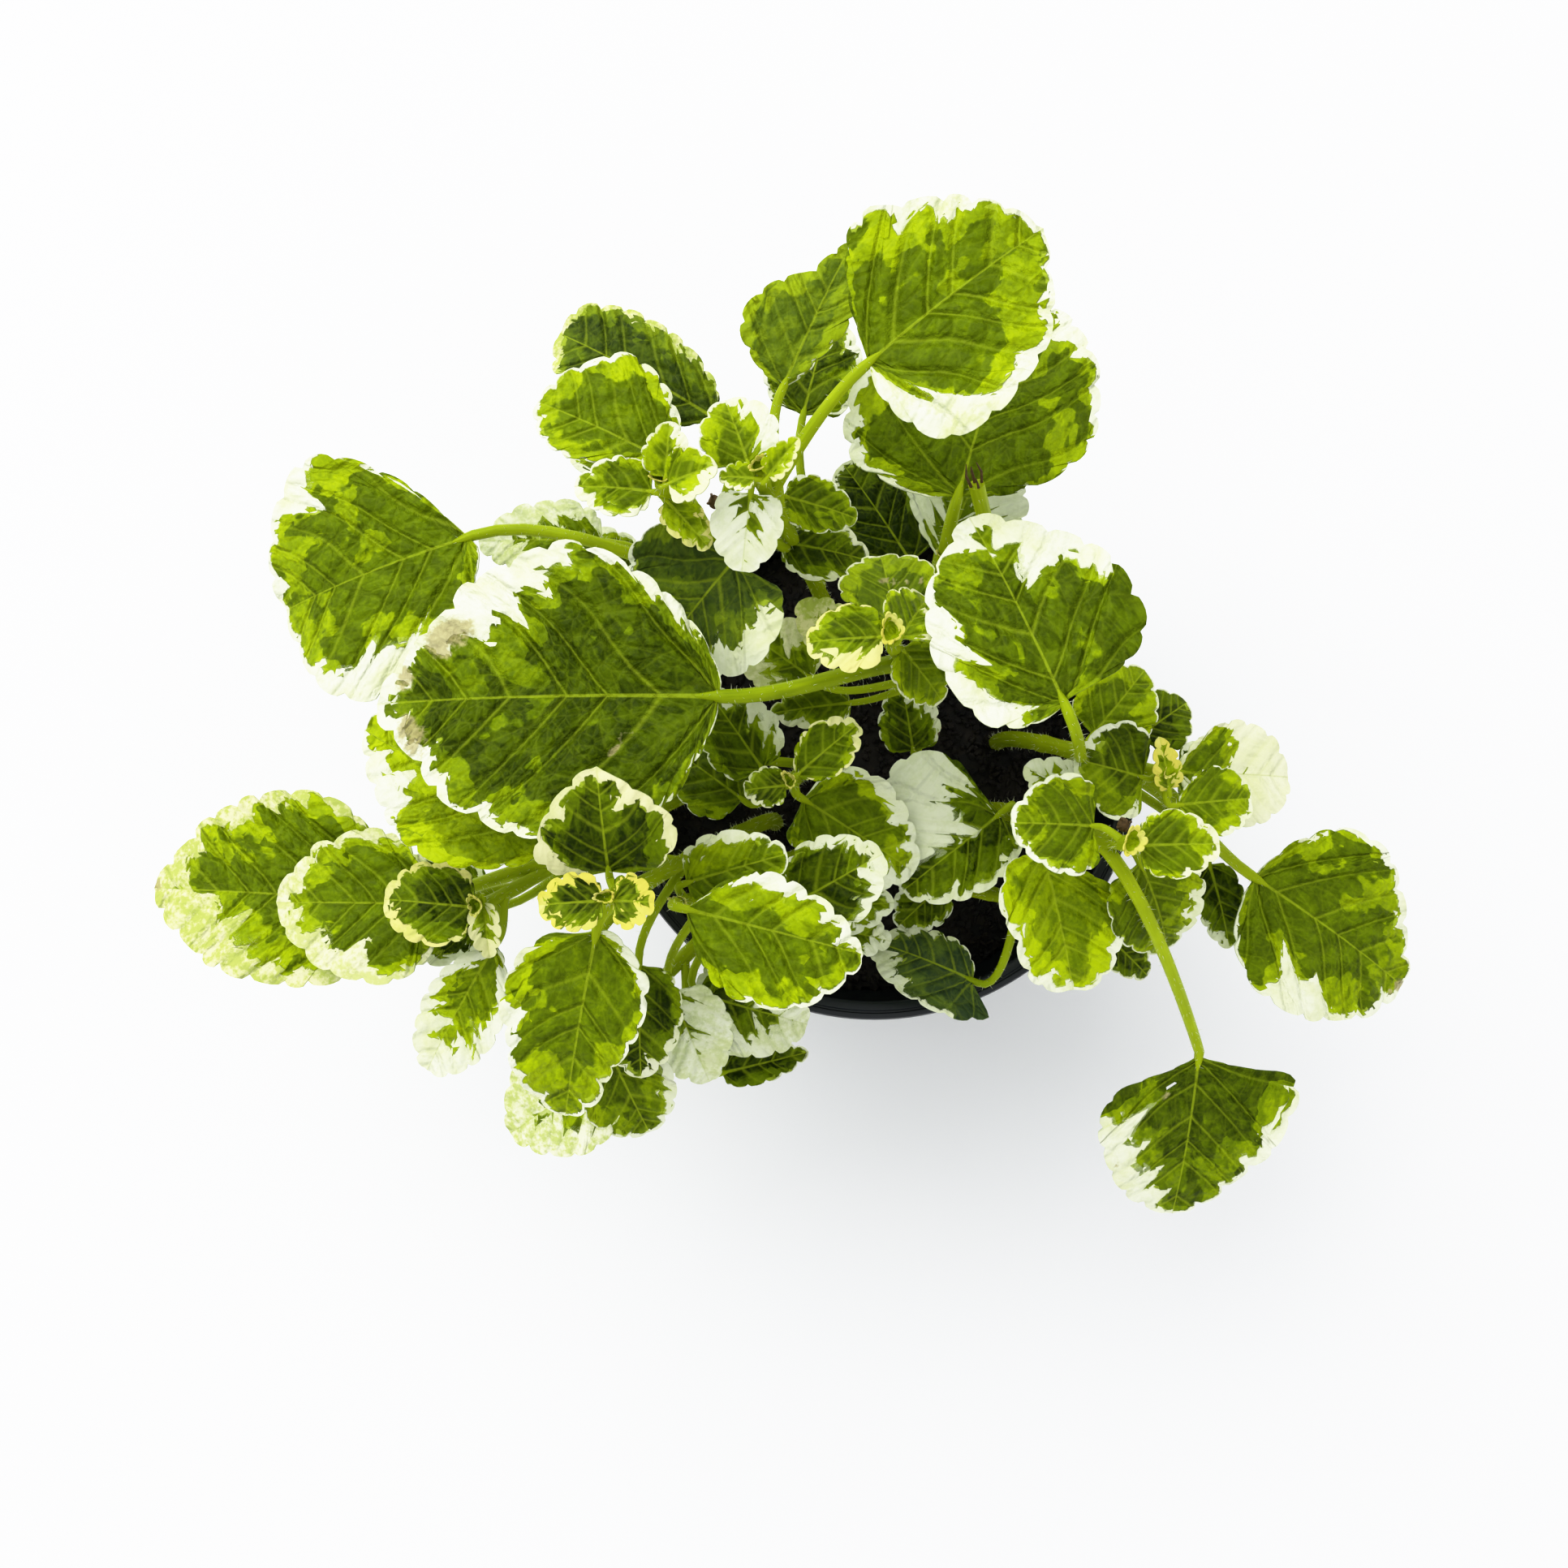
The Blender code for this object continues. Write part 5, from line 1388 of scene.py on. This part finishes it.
    # The underside is paler and greyer, and a scorched spot is tan with a dark rim
    below = add(MATH, {0: value["under"], 1: 0.4}, operation="MULTIPLY")
    turned_over = add(MIX, {0: below, 6: veined, 7: props.under_green}, **COLOURS)
    burnt = add(MATH, {0: blots, 1: 1.6, 2: value["wear"]}, operation="MULTIPLY_ADD")
    burnt = add(MATH, {0: crumb, 1: 0.9, 2: burnt}, operation="MULTIPLY_ADD")
    burnt = add(RANGE, {"Value": burnt, "From Min": 1.22, "From Max": 1.55, "To Max": 0.8})
    spot = add(RANGE, {"Value": value["wear"], "From Min": 0.25, "From Max": 0.45})
    burnt = add(MATH, {0: burnt, 1: spot}, operation="MULTIPLY")
    tan = add(MIX, {0: fine, 6: srgb("#857443"), 7: srgb("#cdc898")}, **COLOURS)
    final = add(MIX, {0: burnt, 6: turned_over, 7: tan}, **COLOURS)

    # Waxy skin of finely varied gloss, which bulges between the sunk veins, large and small
    gloss = add(RANGE, {"Value": fine, "To Min": 0.40, "To Max": 0.58})
    groove = add(RANGE, {"Value": near, "From Min": 0.0, "From Max": 1.1, "To Max": 0.8},
                 interpolation_type="SMOOTHSTEP")
    bulge = add(RANGE, {"Value": net, "From Min": 0.0, "From Max": 0.35, "To Max": 0.35},
                interpolation_type="SMOOTHSTEP")
    swollen = add(RANGE, {"Value": branch, "From Min": 0.0, "From Max": 0.3, "To Max": 0.6},
                  interpolation_type="SMOOTHSTEP")
    sunk = add(MATH, {0: groove, 1: bulge}, operation="ADD")
    sunk = add(MATH, {0: sunk, 1: swollen}, operation="ADD")
    sunk = add(MATH, {0: fine, 1: 0.25, 2: sunk}, operation="MULTIPLY_ADD")
    large = add(RANGE, {"Value": value["spacing"], "From Min": 1.0, "From Max": 5.0, "To Min": 0.3})
    softened = add(RANGE, {"Value": pale, "To Min": 1.0, "To Max": 0.6})
    large = add(MATH, {0: large, 1: softened}, operation="MULTIPLY")
    sunk = add(MATH, {0: sunk, 1: large}, operation="MULTIPLY")
    bump = add("ShaderNodeBump", {"Height": sunk, "Strength": 0.9, "Distance": 0.0008})
    return finished(material, add, {"Base Color": final, "Roughness": gloss, "Specular IOR Level": 0.09,
                                    "Normal": bump})


def stalk_material(props):
    """Fleshy green stalk: juicy tissue under a thin translucent skin, faintly ribbed lengthwise."""
    material, add = new_material("Fleshy leaf stalk")
    uv = add("ShaderNodeUVMap", uv_map="leaf_map")
    place = add("ShaderNodeTexCoord", output=OBJECT)
    tone = add("ShaderNodeAttribute", output=FACTOR, attribute_name="tone")
    stretch = add("ShaderNodeMapping", {"Vector": uv, "Scale": (14.0, 1.2, 1.0)})
    streak = add(NOISE, {"Vector": stretch, "Scale": 1.0, "Detail": 3.0})
    cloud = add(NOISE, {"Vector": place, "Scale": 1.0 / 0.006, "Detail": 2.0})
    blend = add(MATH, {0: streak, 1: 0.5, 2: -0.1}, operation="MULTIPLY_ADD")
    blend = add(MATH, {0: cloud, 1: 0.5, 2: blend}, operation="MULTIPLY_ADD")
    blend = add(MATH, {0: tone, 1: 0.4, 2: blend}, operation="MULTIPLY_ADD")
    colour = add(MIX, {0: blend, 6: props.stalk_shade, 7: props.stalk_light}, **COLOURS)
    bump = add("ShaderNodeBump", {"Height": streak, "Strength": 0.4, "Distance": 0.00015})
    return finished(material, add, {"Base Color": colour, "Roughness": 0.42, "Specular IOR Level": 0.10,
                                    "Subsurface Weight": 0.12, "Subsurface Radius": (0.9, 1.0, 0.3),
                                    "Subsurface Scale": 0.0008, "Normal": bump})


def dry_material():
    """Dried plant fibre: brown, matt and streaked."""
    material, add = new_material("Dried plant fibre")
    place = add("ShaderNodeTexCoord", output=OBJECT)
    streak = add(NOISE, {"Vector": place, "Scale": 1.0 / 0.0008, "Detail": 3.0})
    colour = add(MIX, {0: streak, 6: srgb("#241a10"), 7: srgb("#7c6238")}, **COLOURS)
    return finished(material, add, {"Base Color": colour, "Roughness": 0.85})


def pot_material(props):
    """Moulded black polypropylene: a low sheen, a faint haze and fine scuffs from handling."""
    material, add = new_material("Moulded black polypropylene")
    place = add("ShaderNodeTexCoord", output=OBJECT)
    haze = add(NOISE, {"Vector": place, "Scale": 1.0 / 0.018, "Detail": 5.0, "Roughness": 0.6})
    stretch = add("ShaderNodeMapping", {"Vector": place, "Scale": (1.0, 1.0, 7.0)})
    scuff = add(NOISE, {"Vector": stretch, "Scale": 1.0 / 0.0016, "Detail": 4.0})
    colour = add(MIX, {0: haze, 6: props.pot_black, 7: props.pot_haze}, **COLOURS)
    rough = add(RANGE, {"Value": haze, "To Min": 0.30, "To Max": 0.50})
    bump = add("ShaderNodeBump", {"Height": scuff, "Strength": 0.12, "Distance": 0.0001})
    return finished(material, add, {"Base Color": colour, "Roughness": rough, "Normal": bump})


def mix_material(props):
    """Moist peat and bark: crumbly, and matt but for a trace of wet sheen; its near-black is partly moist
    peat's own dark and partly painted shade, as the mix lies under the leaves.
    """
    material, add = new_material("Moist peat and bark")
    place = add("ShaderNodeTexCoord", output=OBJECT)
    crumbs = add(CELLS, {"Vector": place, "Scale": 1.0 / 0.0022}, output=1)
    tint = add("ShaderNodeSeparateColor", {0: crumbs})
    cloud = add(NOISE, {"Vector": place, "Scale": 1.0 / 0.004, "Detail": 5.0})
    # Both crumb colours are darker than moist peat: partly its own dark, partly painted shade from the
    # leaves above
    colour = add(MIX, {0: tint, 6: props.mix_dark_and_painted_shade, 7: props.mix_light_and_painted_shade}, **COLOURS)
    rough = add(RANGE, {"Value": cloud, "To Min": 0.65, "To Max": 0.98})
    bump = add("ShaderNodeBump", {"Height": cloud, "Strength": 0.9, "Distance": 0.0006})
    return finished(material, add, {"Base Color": colour, "Roughness": rough, "Normal": bump})


def hair_material():
    """Plant hairs: clear, thin-walled cells that catch the light and look white."""
    material, add = new_material("Clear plant hairs")
    place = add("ShaderNodeTexCoord", output=OBJECT)
    cloud = add(NOISE, {"Vector": place, "Scale": 1.0 / 0.003})
    colour = add(MIX, {0: cloud, 6: srgb("#cfd89a"), 7: srgb("#f4f6ea")}, **COLOURS)
    return finished(material, add, {"Base Color": colour, "Roughness": 0.4})


def floor_material(props):
    """Pale seamless paper: matt, evenly white, with the least trace of fibre."""
    material, add = new_material("Seamless pale paper")
    place = add("ShaderNodeTexCoord", output=OBJECT)
    fibre = add(NOISE, {"Vector": place, "Scale": 9.0, "Detail": 3.0})
    colour = add(MIX, {0: fibre, 6: props.floor_colour, 7: srgb("#f9f9f9")}, **COLOURS)
    return finished(material, add, {"Base Color": colour, "Roughness": 0.9, "Specular IOR Level": 0.1})


def wall_radius(height):
    """Outer radius of the pot's tapered wall at a height."""
    top = POT_LIP_RADIUS - POT_LIP_FLANGE
    return POT_FOOT_RADIUS + (top - POT_FOOT_RADIUS) * height / POT_HEIGHT


def turned(name, profile, steps):
    """A closed profile of (radius, height) points in millimetres, turned about Z into a plain mesh."""
    outline = bmesh.new()
    verts = [outline.verts.new((radius * MM, 0.0, height * MM)) for radius, height in profile]
    for first, second in zip(verts, verts[1:]):
        outline.edges.new((first, second))
    item = linked(name, as_mesh(name, outline))
    screw = item.modifiers.new("Turn", "SCREW")
    screw.steps = steps
    screw.render_steps = steps
    screw.use_merge_vertices = True
    screw.merge_threshold = MERGE_ON_AXIS
    return baked(item)


def baked(item):
    """The object as its modifiers leave it, as a plain mesh object in its place."""
    name = item.name
    mesh = evaluated_mesh(item)
    shell = bmesh.new()
    shell.from_mesh(mesh)
    bmesh.ops.remove_doubles(shell, verts=shell.verts, dist=MERGE_WITHIN)
    bmesh.ops.recalc_face_normals(shell, faces=shell.faces)
    shell.to_mesh(mesh)
    shell.free()
    return linked(name, mesh)


def dress(item, material):
    """Gives a piece its one material and smooth shading with crisp edges."""
    item.data.materials.clear()
    item.data.materials.append(material)
    item.data.shade_smooth()
    item.data.set_sharp_from_angle(angle=math.radians(CRISP_ON_POT))
    return item


def scatter_tree(name, sizes, seed, material, grow):
    """A node tree that scatters a small shape over the faces of the mesh that it is given.

    grow takes the sizes and the faces' turn by name, adds the shape and gives it with its turn and
    its scale at each point.
    """
    tree = bpy.data.node_groups.new(name, "GeometryNodeTree")
    tree.interface.new_socket("Geometry", in_out="INPUT", socket_type="NodeSocketGeometry")
    for size in sizes:
        tree.interface.new_socket(size, in_out="INPUT", socket_type="NodeSocketFloat")
    tree.interface.new_socket("Geometry", in_out="OUTPUT", socket_type="NodeSocketGeometry")
    add = partial(node, tree)
    source = add("NodeGroupInput").node.outputs
    points = add("GeometryNodeDistributePointsOnFaces",
                 {"Mesh": source["Geometry"], "Density": source["Density"], "Seed": seed}).node.outputs
    given = {size: source[size] for size in sizes}
    given["Rotation"] = points["Rotation"]
    shape, turn, scale = grow(add, given)
    placed = add("GeometryNodeInstanceOnPoints",
                 {"Points": points["Points"], "Instance": shape, "Rotation": turn, "Scale": scale})
    solid = add("GeometryNodeRealizeInstances", {0: placed})
    painted = add("GeometryNodeSetMaterial", {0: solid, "Material": material})
    add("NodeGroupOutput", {0: painted})
    return tree


def hair_tree(material):
    """Scatters short hairs that lean a little."""

    def grow(add, given):
        hair = add("GeometryNodeMeshCone", {"Vertices": 3, "Radius Top": 0.0, "Depth": given["Length"],
                                            "Radius Bottom": given["Thickness"]})
        lean = add(RANDOM, {0: (-0.5, -0.5, -0.5), 1: (0.5, 0.5, 0.5), "Seed": HAIR_SEED + 1},
                   data_type="FLOAT_VECTOR")
        turn = add("FunctionNodeRotateEuler", {0: given["Rotation"], 1: lean})
        scale = add(RANDOM, {2: 0.5, 3: 1.2, "Seed": HAIR_SEED + 2}, output=1, data_type="FLOAT")
        return hair, turn, scale

    return scatter_tree("Stalk hairs", ("Density", "Length", "Thickness"), HAIR_SEED, material, grow)


def grain_tree(material):
    """Scatters crumbs and chips that lie any way round."""

    def grow(add, given):
        grain = add("GeometryNodeMeshIcoSphere", {"Subdivisions": 1, "Radius": given["Grain size"]})
        turn = add(RANDOM, {0: (0.0, 0.0, 0.0), 1: (6.28, 6.28, 6.28), "Seed": GRAIN_SEED + 1},
                   data_type="FLOAT_VECTOR")
        scale = add(RANDOM, {0: (0.35, 0.35, 0.25), 1: (1.5, 1.2, 0.7), "Seed": GRAIN_SEED + 2},
                    data_type="FLOAT_VECTOR")
        return grain, turn, scale

    return scatter_tree("Mix grains", ("Density", "Grain size"), GRAIN_SEED, material, grow)


def grown_from(name, mesh, tree, sizes):
    """The plain mesh that a node tree makes on a mesh, with its named sizes set."""
    item = linked(name, mesh)
    grow = item.modifiers.new("Grow", "NODES")
    grow.node_group = tree
    inputs = [socket for socket in tree.interface.items_tree if socket.in_out == "INPUT"]
    names = {socket.name: socket.identifier for socket in inputs}
    for size_name, size in sizes.items():
        grow[names[size_name]] = size
    return linked(name, evaluated_mesh(item))


def length_property(name, description, default):
    """A length that a user may change, in metres."""
    return bpy.props.FloatProperty(name=name, description=description, default=default, unit="LENGTH",
                                   min=0.0, precision=5)


def colour_property(name, description, code):
    """A colour that a user may change, from its hex code."""
    return bpy.props.FloatVectorProperty(name=name, description=description, default=srgb(code), size=4,
                                         subtype="COLOR", min=0.0, max=1.0)


class IvyLeafSettings(bpy.types.PropertyGroup):
    patch_size: bpy.props.FloatProperty(
        name="Patch size", description="Size of the fields between the finest veins, in millimetres",
        default=1.5, min=0.2)
    hair_length: length_property("Hair length", "Length of the hairs on stems and stalks", 0.0009)
    deep_green: colour_property("Deep green", "Darkest green of a blade", "#263600")
    middle_green: colour_property("Middle green", "Usual green of a blade", "#6c8100")
    bright_green: colour_property("Bright green", "Brightest green of a blade", "#b3c600")
    # Grey green: partly the real grey of dull blades, partly painted sky sheen and painted shade
    grey_sheen_green: colour_property("Grey green", "Green of a dull blade", "#44583c")
    half_green: colour_property("Half green", "Where only the lower layer is green", "#b0c23c")
    mottle_green: colour_property("Mottle", "Green left in a pale margin", "#a9bb35")
    vein_green: colour_property("Vein", "Veins and midrib", "#abbc28")
    under_green: colour_property("Underside", "Tint of the underside", "#93a76a")
    cream: colour_property("Cream", "Grown pale margin", "#e9edd3")
    cream_stain: colour_property("Cream shade", "Faint stain in the pale margin", "#d9dfa6")
    young_yellow: colour_property("Young margin", "Pale margin of a young leaf", "#d9d062")
    stalk_shade: colour_property("Stalk, deep", "Deeper green of the stalks", "#687c00")
    stalk_light: colour_property("Stalk, light", "Lighter green of the stalks", "#b4c41a")


class IvyPotSettings(bpy.types.PropertyGroup):
    grain_size: length_property("Grain size", "Radius of the larger crumbs of the mix", 0.0013)
    pot_black: colour_property("Pot", "Black of the pot", "#12171a")
    pot_haze: colour_property("Pot haze", "Hazed black of the pot", "#1e2528")
    # The mix's colours are partly moist peat's own dark and partly painted shade from the leaves above
    mix_dark_and_painted_shade: colour_property("Mix, dark", "Dark crumbs", "#080706")
    mix_light_and_painted_shade: colour_property("Mix, light", "Lighter crumbs", "#211a12")


class IvyStageSettings(bpy.types.PropertyGroup):
    floor_colour: colour_property("Floor", "Colour of the floor", "#f6f7f7")
    key_power: bpy.props.FloatProperty(name="Key light", description="Power of the large soft lamp",
                                       default=34.0, unit="POWER")
    sky_strength: bpy.props.FloatProperty(name="Sky", description="Strength of the even light all round",
                                          default=0.80)


class IVY_OT_pot(bpy.types.Operator):
    """Make the thin black pot"""
    bl_idname = "ivy.pot"
    bl_label = "Pot"

    def execute(self, context):
        # The section: across the floor inside, up the wall, over the lip and its band, and down outside
        lip_inner = POT_LIP_RADIUS - POT_LIP_FLANGE - POT_WALL
        band_low = POT_HEIGHT - POT_LIP_BAND
        shoulder = POT_HEIGHT - POT_SHOULDER_DROP
        profile = [
            (0.0, POT_FLOOR),
            (wall_radius(POT_FLOOR) - POT_WALL - POT_FOOT_ROUND, POT_FLOOR),
            (wall_radius(POT_FLOOR) - POT_WALL - 0.9, POT_FLOOR + 0.8),
            (wall_radius(POT_FLOOR + POT_FOOT_ROUND) - POT_WALL, POT_FLOOR + POT_FOOT_ROUND),
            (wall_radius(shoulder) - POT_WALL - POT_SHOULDER_STEP, shoulder - 1.0),
            (wall_radius(shoulder) - POT_WALL - 0.2, shoulder - 0.4),
            (wall_radius(shoulder) - POT_WALL, shoulder + 0.2),
            (lip_inner - 0.1, POT_HEIGHT - 1.6),
            (lip_inner, POT_HEIGHT - 0.7),
            (lip_inner + 0.25, POT_HEIGHT - 0.2),
            (lip_inner + 0.7, POT_HEIGHT),
            (POT_LIP_RADIUS - 1.9, POT_HEIGHT),
            (POT_LIP_RADIUS - 1.7, POT_HEIGHT - 0.25),
            (POT_LIP_RADIUS - 1.4, POT_HEIGHT - 0.25),
            (POT_LIP_RADIUS - 1.2, POT_HEIGHT),
            (POT_LIP_RADIUS - 0.8, POT_HEIGHT),
            (POT_LIP_RADIUS - 0.25, POT_HEIGHT - 0.2),
            (POT_LIP_RADIUS, POT_HEIGHT - 0.8),
            (POT_LIP_RADIUS - 0.5, band_low + 0.3),
            (POT_LIP_RADIUS - 0.7, band_low),
            (POT_LIP_RADIUS - 0.3 - POT_WALL, band_low),
            (POT_LIP_RADIUS - 0.5 - POT_WALL, band_low + 0.3),
            (POT_LIP_RADIUS - POT_WALL, POT_HEIGHT - POT_WALL - 0.4),
            (wall_radius(POT_HEIGHT) + 0.1, POT_HEIGHT - POT_WALL - 0.4),
            (wall_radius(shoulder), shoulder + 0.2),
            (wall_radius(shoulder) - 0.2, shoulder - 0.4),
            (wall_radius(shoulder) - POT_SHOULDER_STEP, shoulder - 1.0),
            (wall_radius(POT_FOOT_ROUND), POT_FOOT_ROUND),
            (wall_radius(0.0) - 0.9, 0.7),
            (wall_radius(0.0) - POT_FOOT_ROUND, 0.0),
            (0.0, 0.0),
        ]
        pot = turned("pot_fine", profile, POT_STEPS)
        cutters = bpy.data.collections.new("drain_cutters")
        context.scene.collection.children.link(cutters)
        for number in range(DRAIN_COUNT):
            angle = 2 * math.pi * (number + 0.5) / DRAIN_COUNT
            centre = (DRAIN_RING * MM * math.cos(angle), DRAIN_RING * MM * math.sin(angle), MM)
            shape = bmesh.new()
            bmesh.ops.create_cone(shape, cap_ends=True, segments=24, radius1=DRAIN_RADIUS * MM,
                                  radius2=DRAIN_RADIUS * MM, depth=6.0 * MM)
            bmesh.ops.translate(shape, verts=shape.verts, vec=centre)
            cutters.objects.link(bpy.data.objects.new("drain", as_mesh("drain", shape)))
        trim = pot.modifiers.new("Drains", "BOOLEAN")
        trim.operation = "DIFFERENCE"
        trim.operand_type = "COLLECTION"
        trim.collection = cutters
        trim.solver = "MANIFOLD"
        pot = baked(pot)
        for item in list(cutters.objects):
            bpy.data.objects.remove(item, do_unlink=True)
        bpy.data.collections.remove(cutters)
        dress(pot, pot_material(context.scene.ivy_pot))
        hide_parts("pot")
        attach(pot, "root")
        return {"FINISHED"}


class IVY_OT_mix(bpy.types.Operator):
    """Make the potting mix with its loose crumbs"""
    bl_idname = "ivy.mix"
    bl_label = "Potting mix"

    def execute(self, context):
        props = context.scene.ivy_pot
        shoulder = POT_HEIGHT - POT_SHOULDER_DROP
        inset = POT_WALL + GAP
        low = POT_FLOOR + GAP
        side = wall_radius(MIX_TOP) - inset - 0.6
        steps = 22
        crown = []
        for step in range(steps + 1):
            share = step / steps
            crown.append((side * step / steps, MIX_TOP + MIX_CROWN * (1 - share ** 2) - 0.5 * share ** 4))
        profile = crown + [
            (wall_radius(MIX_TOP) - inset - 0.4, MIX_TOP - 1.5),
            (wall_radius(shoulder) - inset - 0.4, shoulder),
            (wall_radius(shoulder) - inset - POT_SHOULDER_STEP - 0.4, shoulder - 1.0),
            (wall_radius(low + POT_FOOT_ROUND) - inset - 0.4, low + POT_FOOT_ROUND),
            (wall_radius(low) - inset - POT_FOOT_ROUND - 0.4, low),
            (0.0, low),
        ]
        material = mix_material(props)
        mix = dress(turned("potting_mix_fine", profile, MIX_STEPS), material)
        rng = np.random.default_rng(GRAIN_SEED)
        humps = [(rng.uniform(-HUMPS_WITHIN, HUMPS_WITHIN), rng.uniform(-HUMPS_WITHIN, HUMPS_WITHIN),
                  rng.uniform(*HUMP_REACH), rng.uniform(*HUMP_HEIGHT)) for _ in range(HUMPS)]
        for vert in mix.data.vertices:
            if vert.co.z > (MIX_TOP - 1.0) * MM:
                rise = 0
                for x, y, reach, height in humps:
                    apart = (vert.co.x / MM - x) ** 2 + (vert.co.y / MM - y) ** 2
                    rise += height * math.exp(-apart / reach ** 2)
                vert.co.z += rise * MM
        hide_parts("potting_mix")
        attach(mix, "root")

        lowest = (MIX_TOP - 1.4) * MM
        top = as_mesh("mix_top", without(mix.data, lambda face: face.calc_center_median().z < lowest))
        sizes = {"Density": GRAINS, "Grain size": props.grain_size}
        grains = grown_from("mix_grains", top, grain_tree(material), sizes)
        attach(grains, "root")
        return {"FINISHED"}


class IVY_OT_stems(bpy.types.Operator):
    """Make the leafy stems and their hairs"""
    bl_idname = "ivy.stems"
    bl_label = "Leafy stems"

    def execute(self, context):
        props = context.scene.ivy_leaf
        materials = [leaf_material(props), stalk_material(props), dry_material()]
        lowest = (MIX_TOP + 2) * MM

        def bare(face):
            return face.material_index != STALK_SLOT or face.calc_center_median().z < lowest

        first = 0
        hairy = bmesh.new()
        for name, stem in STEMS.items():
            piece = make_stem(name, stem, materials, first)
            first += len(stem.leaves)
            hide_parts(name)
            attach(piece, "root")
            stalks = as_mesh("stalks", without(piece.data, bare))
            hairy.from_mesh(stalks)
            bpy.data.meshes.remove(stalks)
        base = as_mesh("hair_base", hairy)
        sizes = {"Density": HAIRS, "Length": props.hair_length, "Thickness": HAIR_THICKNESS}
        hairs = grown_from("stalk_hairs", base, hair_tree(hair_material()), sizes)
        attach(hairs, "root")
        return {"FINISHED"}


class IVY_OT_stage(bpy.types.Operator):
    """Make the floor, the light and the camera"""
    bl_idname = "ivy.stage"
    bl_label = "Stage"

    def execute(self, context):
        props = context.scene.ivy_stage
        scene = context.scene
        sheet = bmesh.new()
        bmesh.ops.create_grid(sheet, x_segments=1, y_segments=1, size=FLOOR_SIZE / 2)
        floor = linked("floor", as_mesh("floor", sheet))
        floor.data.materials.append(floor_material(props))

        lamp = bpy.data.lights.new("key", "AREA")
        lamp.energy = props.key_power
        lamp.shape = "DISK"
        lamp.size = LAMP_SIZE
        key = linked("key", lamp)
        key.location = LAMP_PLACE
        key.rotation_euler = (Vector(LAMP_AIM) - Vector(LAMP_PLACE)).to_track_quat("-Z", "Y").to_euler()

        world = bpy.data.worlds.new("studio")
        world.use_nodes = True
        sky = world.node_tree.nodes["Background"]
        sky.inputs["Color"].default_value = srgb("#fbfcff")
        sky.inputs["Strength"].default_value = props.sky_strength
        scene.world = world

        lens = bpy.data.cameras.new("camera")
        lens.sensor_fit = "HORIZONTAL"
        lens.sensor_width = LENS_SENSOR
        lens.lens = LENS_SENSOR * PICTURE_FOCUS / PICTURE_SIZE
        lens.clip_start = 0.01
        lens.clip_end = 50.0
        camera = linked("camera", lens)
        camera.location = LENS_PLACE * MM
        camera.rotation_euler = (math.pi / 2 - LENS_ELEVATION, 0.0, 0.0)
        scene.camera = camera
        scene.view_settings.view_transform = "Standard"
        scene.view_settings.look = "Medium High Contrast"
        scene.view_settings.use_curve_mapping = True
        tones = scene.view_settings.curve_mapping
        tones.white_level = (BRIGHTEST, BRIGHTEST, BRIGHTEST)
        points = tones.curves[ALL_COLOURS].points
        points[1].location = (1.0, TOP_TONE)
        for place, tone in TONE_POINTS:
            points.new(place / BRIGHTEST, tone)
        tones.update()
        return {"FINISHED"}


class IVY_PT_panel(bpy.types.Panel):
    bl_label = "Potted Swedish Ivy"
    bl_idname = "IVY_PT_panel"
    bl_space_type = "VIEW_3D"
    bl_region_type = "UI"
    bl_category = "Ivy"

    def draw(self, context):
        layout = self.layout
        for group in (context.scene.ivy_pot, context.scene.ivy_leaf, context.scene.ivy_stage):
            box = layout.box()
            for name in group.__annotations__:
                box.prop(group, name)
        for operator in OPERATORS:
            layout.operator(operator.bl_idname)


SETTINGS = {"ivy_pot": IvyPotSettings, "ivy_leaf": IvyLeafSettings, "ivy_stage": IvyStageSettings}
OPERATORS = (IVY_OT_stage, IVY_OT_pot, IVY_OT_mix, IVY_OT_stems)


def register():
    for name, group in SETTINGS.items():
        bpy.utils.register_class(group)
        setattr(bpy.types.Scene, name, bpy.props.PointerProperty(type=group))
    for operator in OPERATORS:
        bpy.utils.register_class(operator)
    bpy.utils.register_class(IVY_PT_panel)


def unregister():
    bpy.utils.unregister_class(IVY_PT_panel)
    for operator in reversed(OPERATORS):
        bpy.utils.unregister_class(operator)
    for name, group in SETTINGS.items():
        delattr(bpy.types.Scene, name)
        bpy.utils.unregister_class(group)


def main():
    register()
    bpy.ops.ivy.stage()
    bpy.ops.ivy.pot()
    bpy.ops.ivy.mix()
    bpy.ops.ivy.stems()


if __name__ == "__main__":
    main()
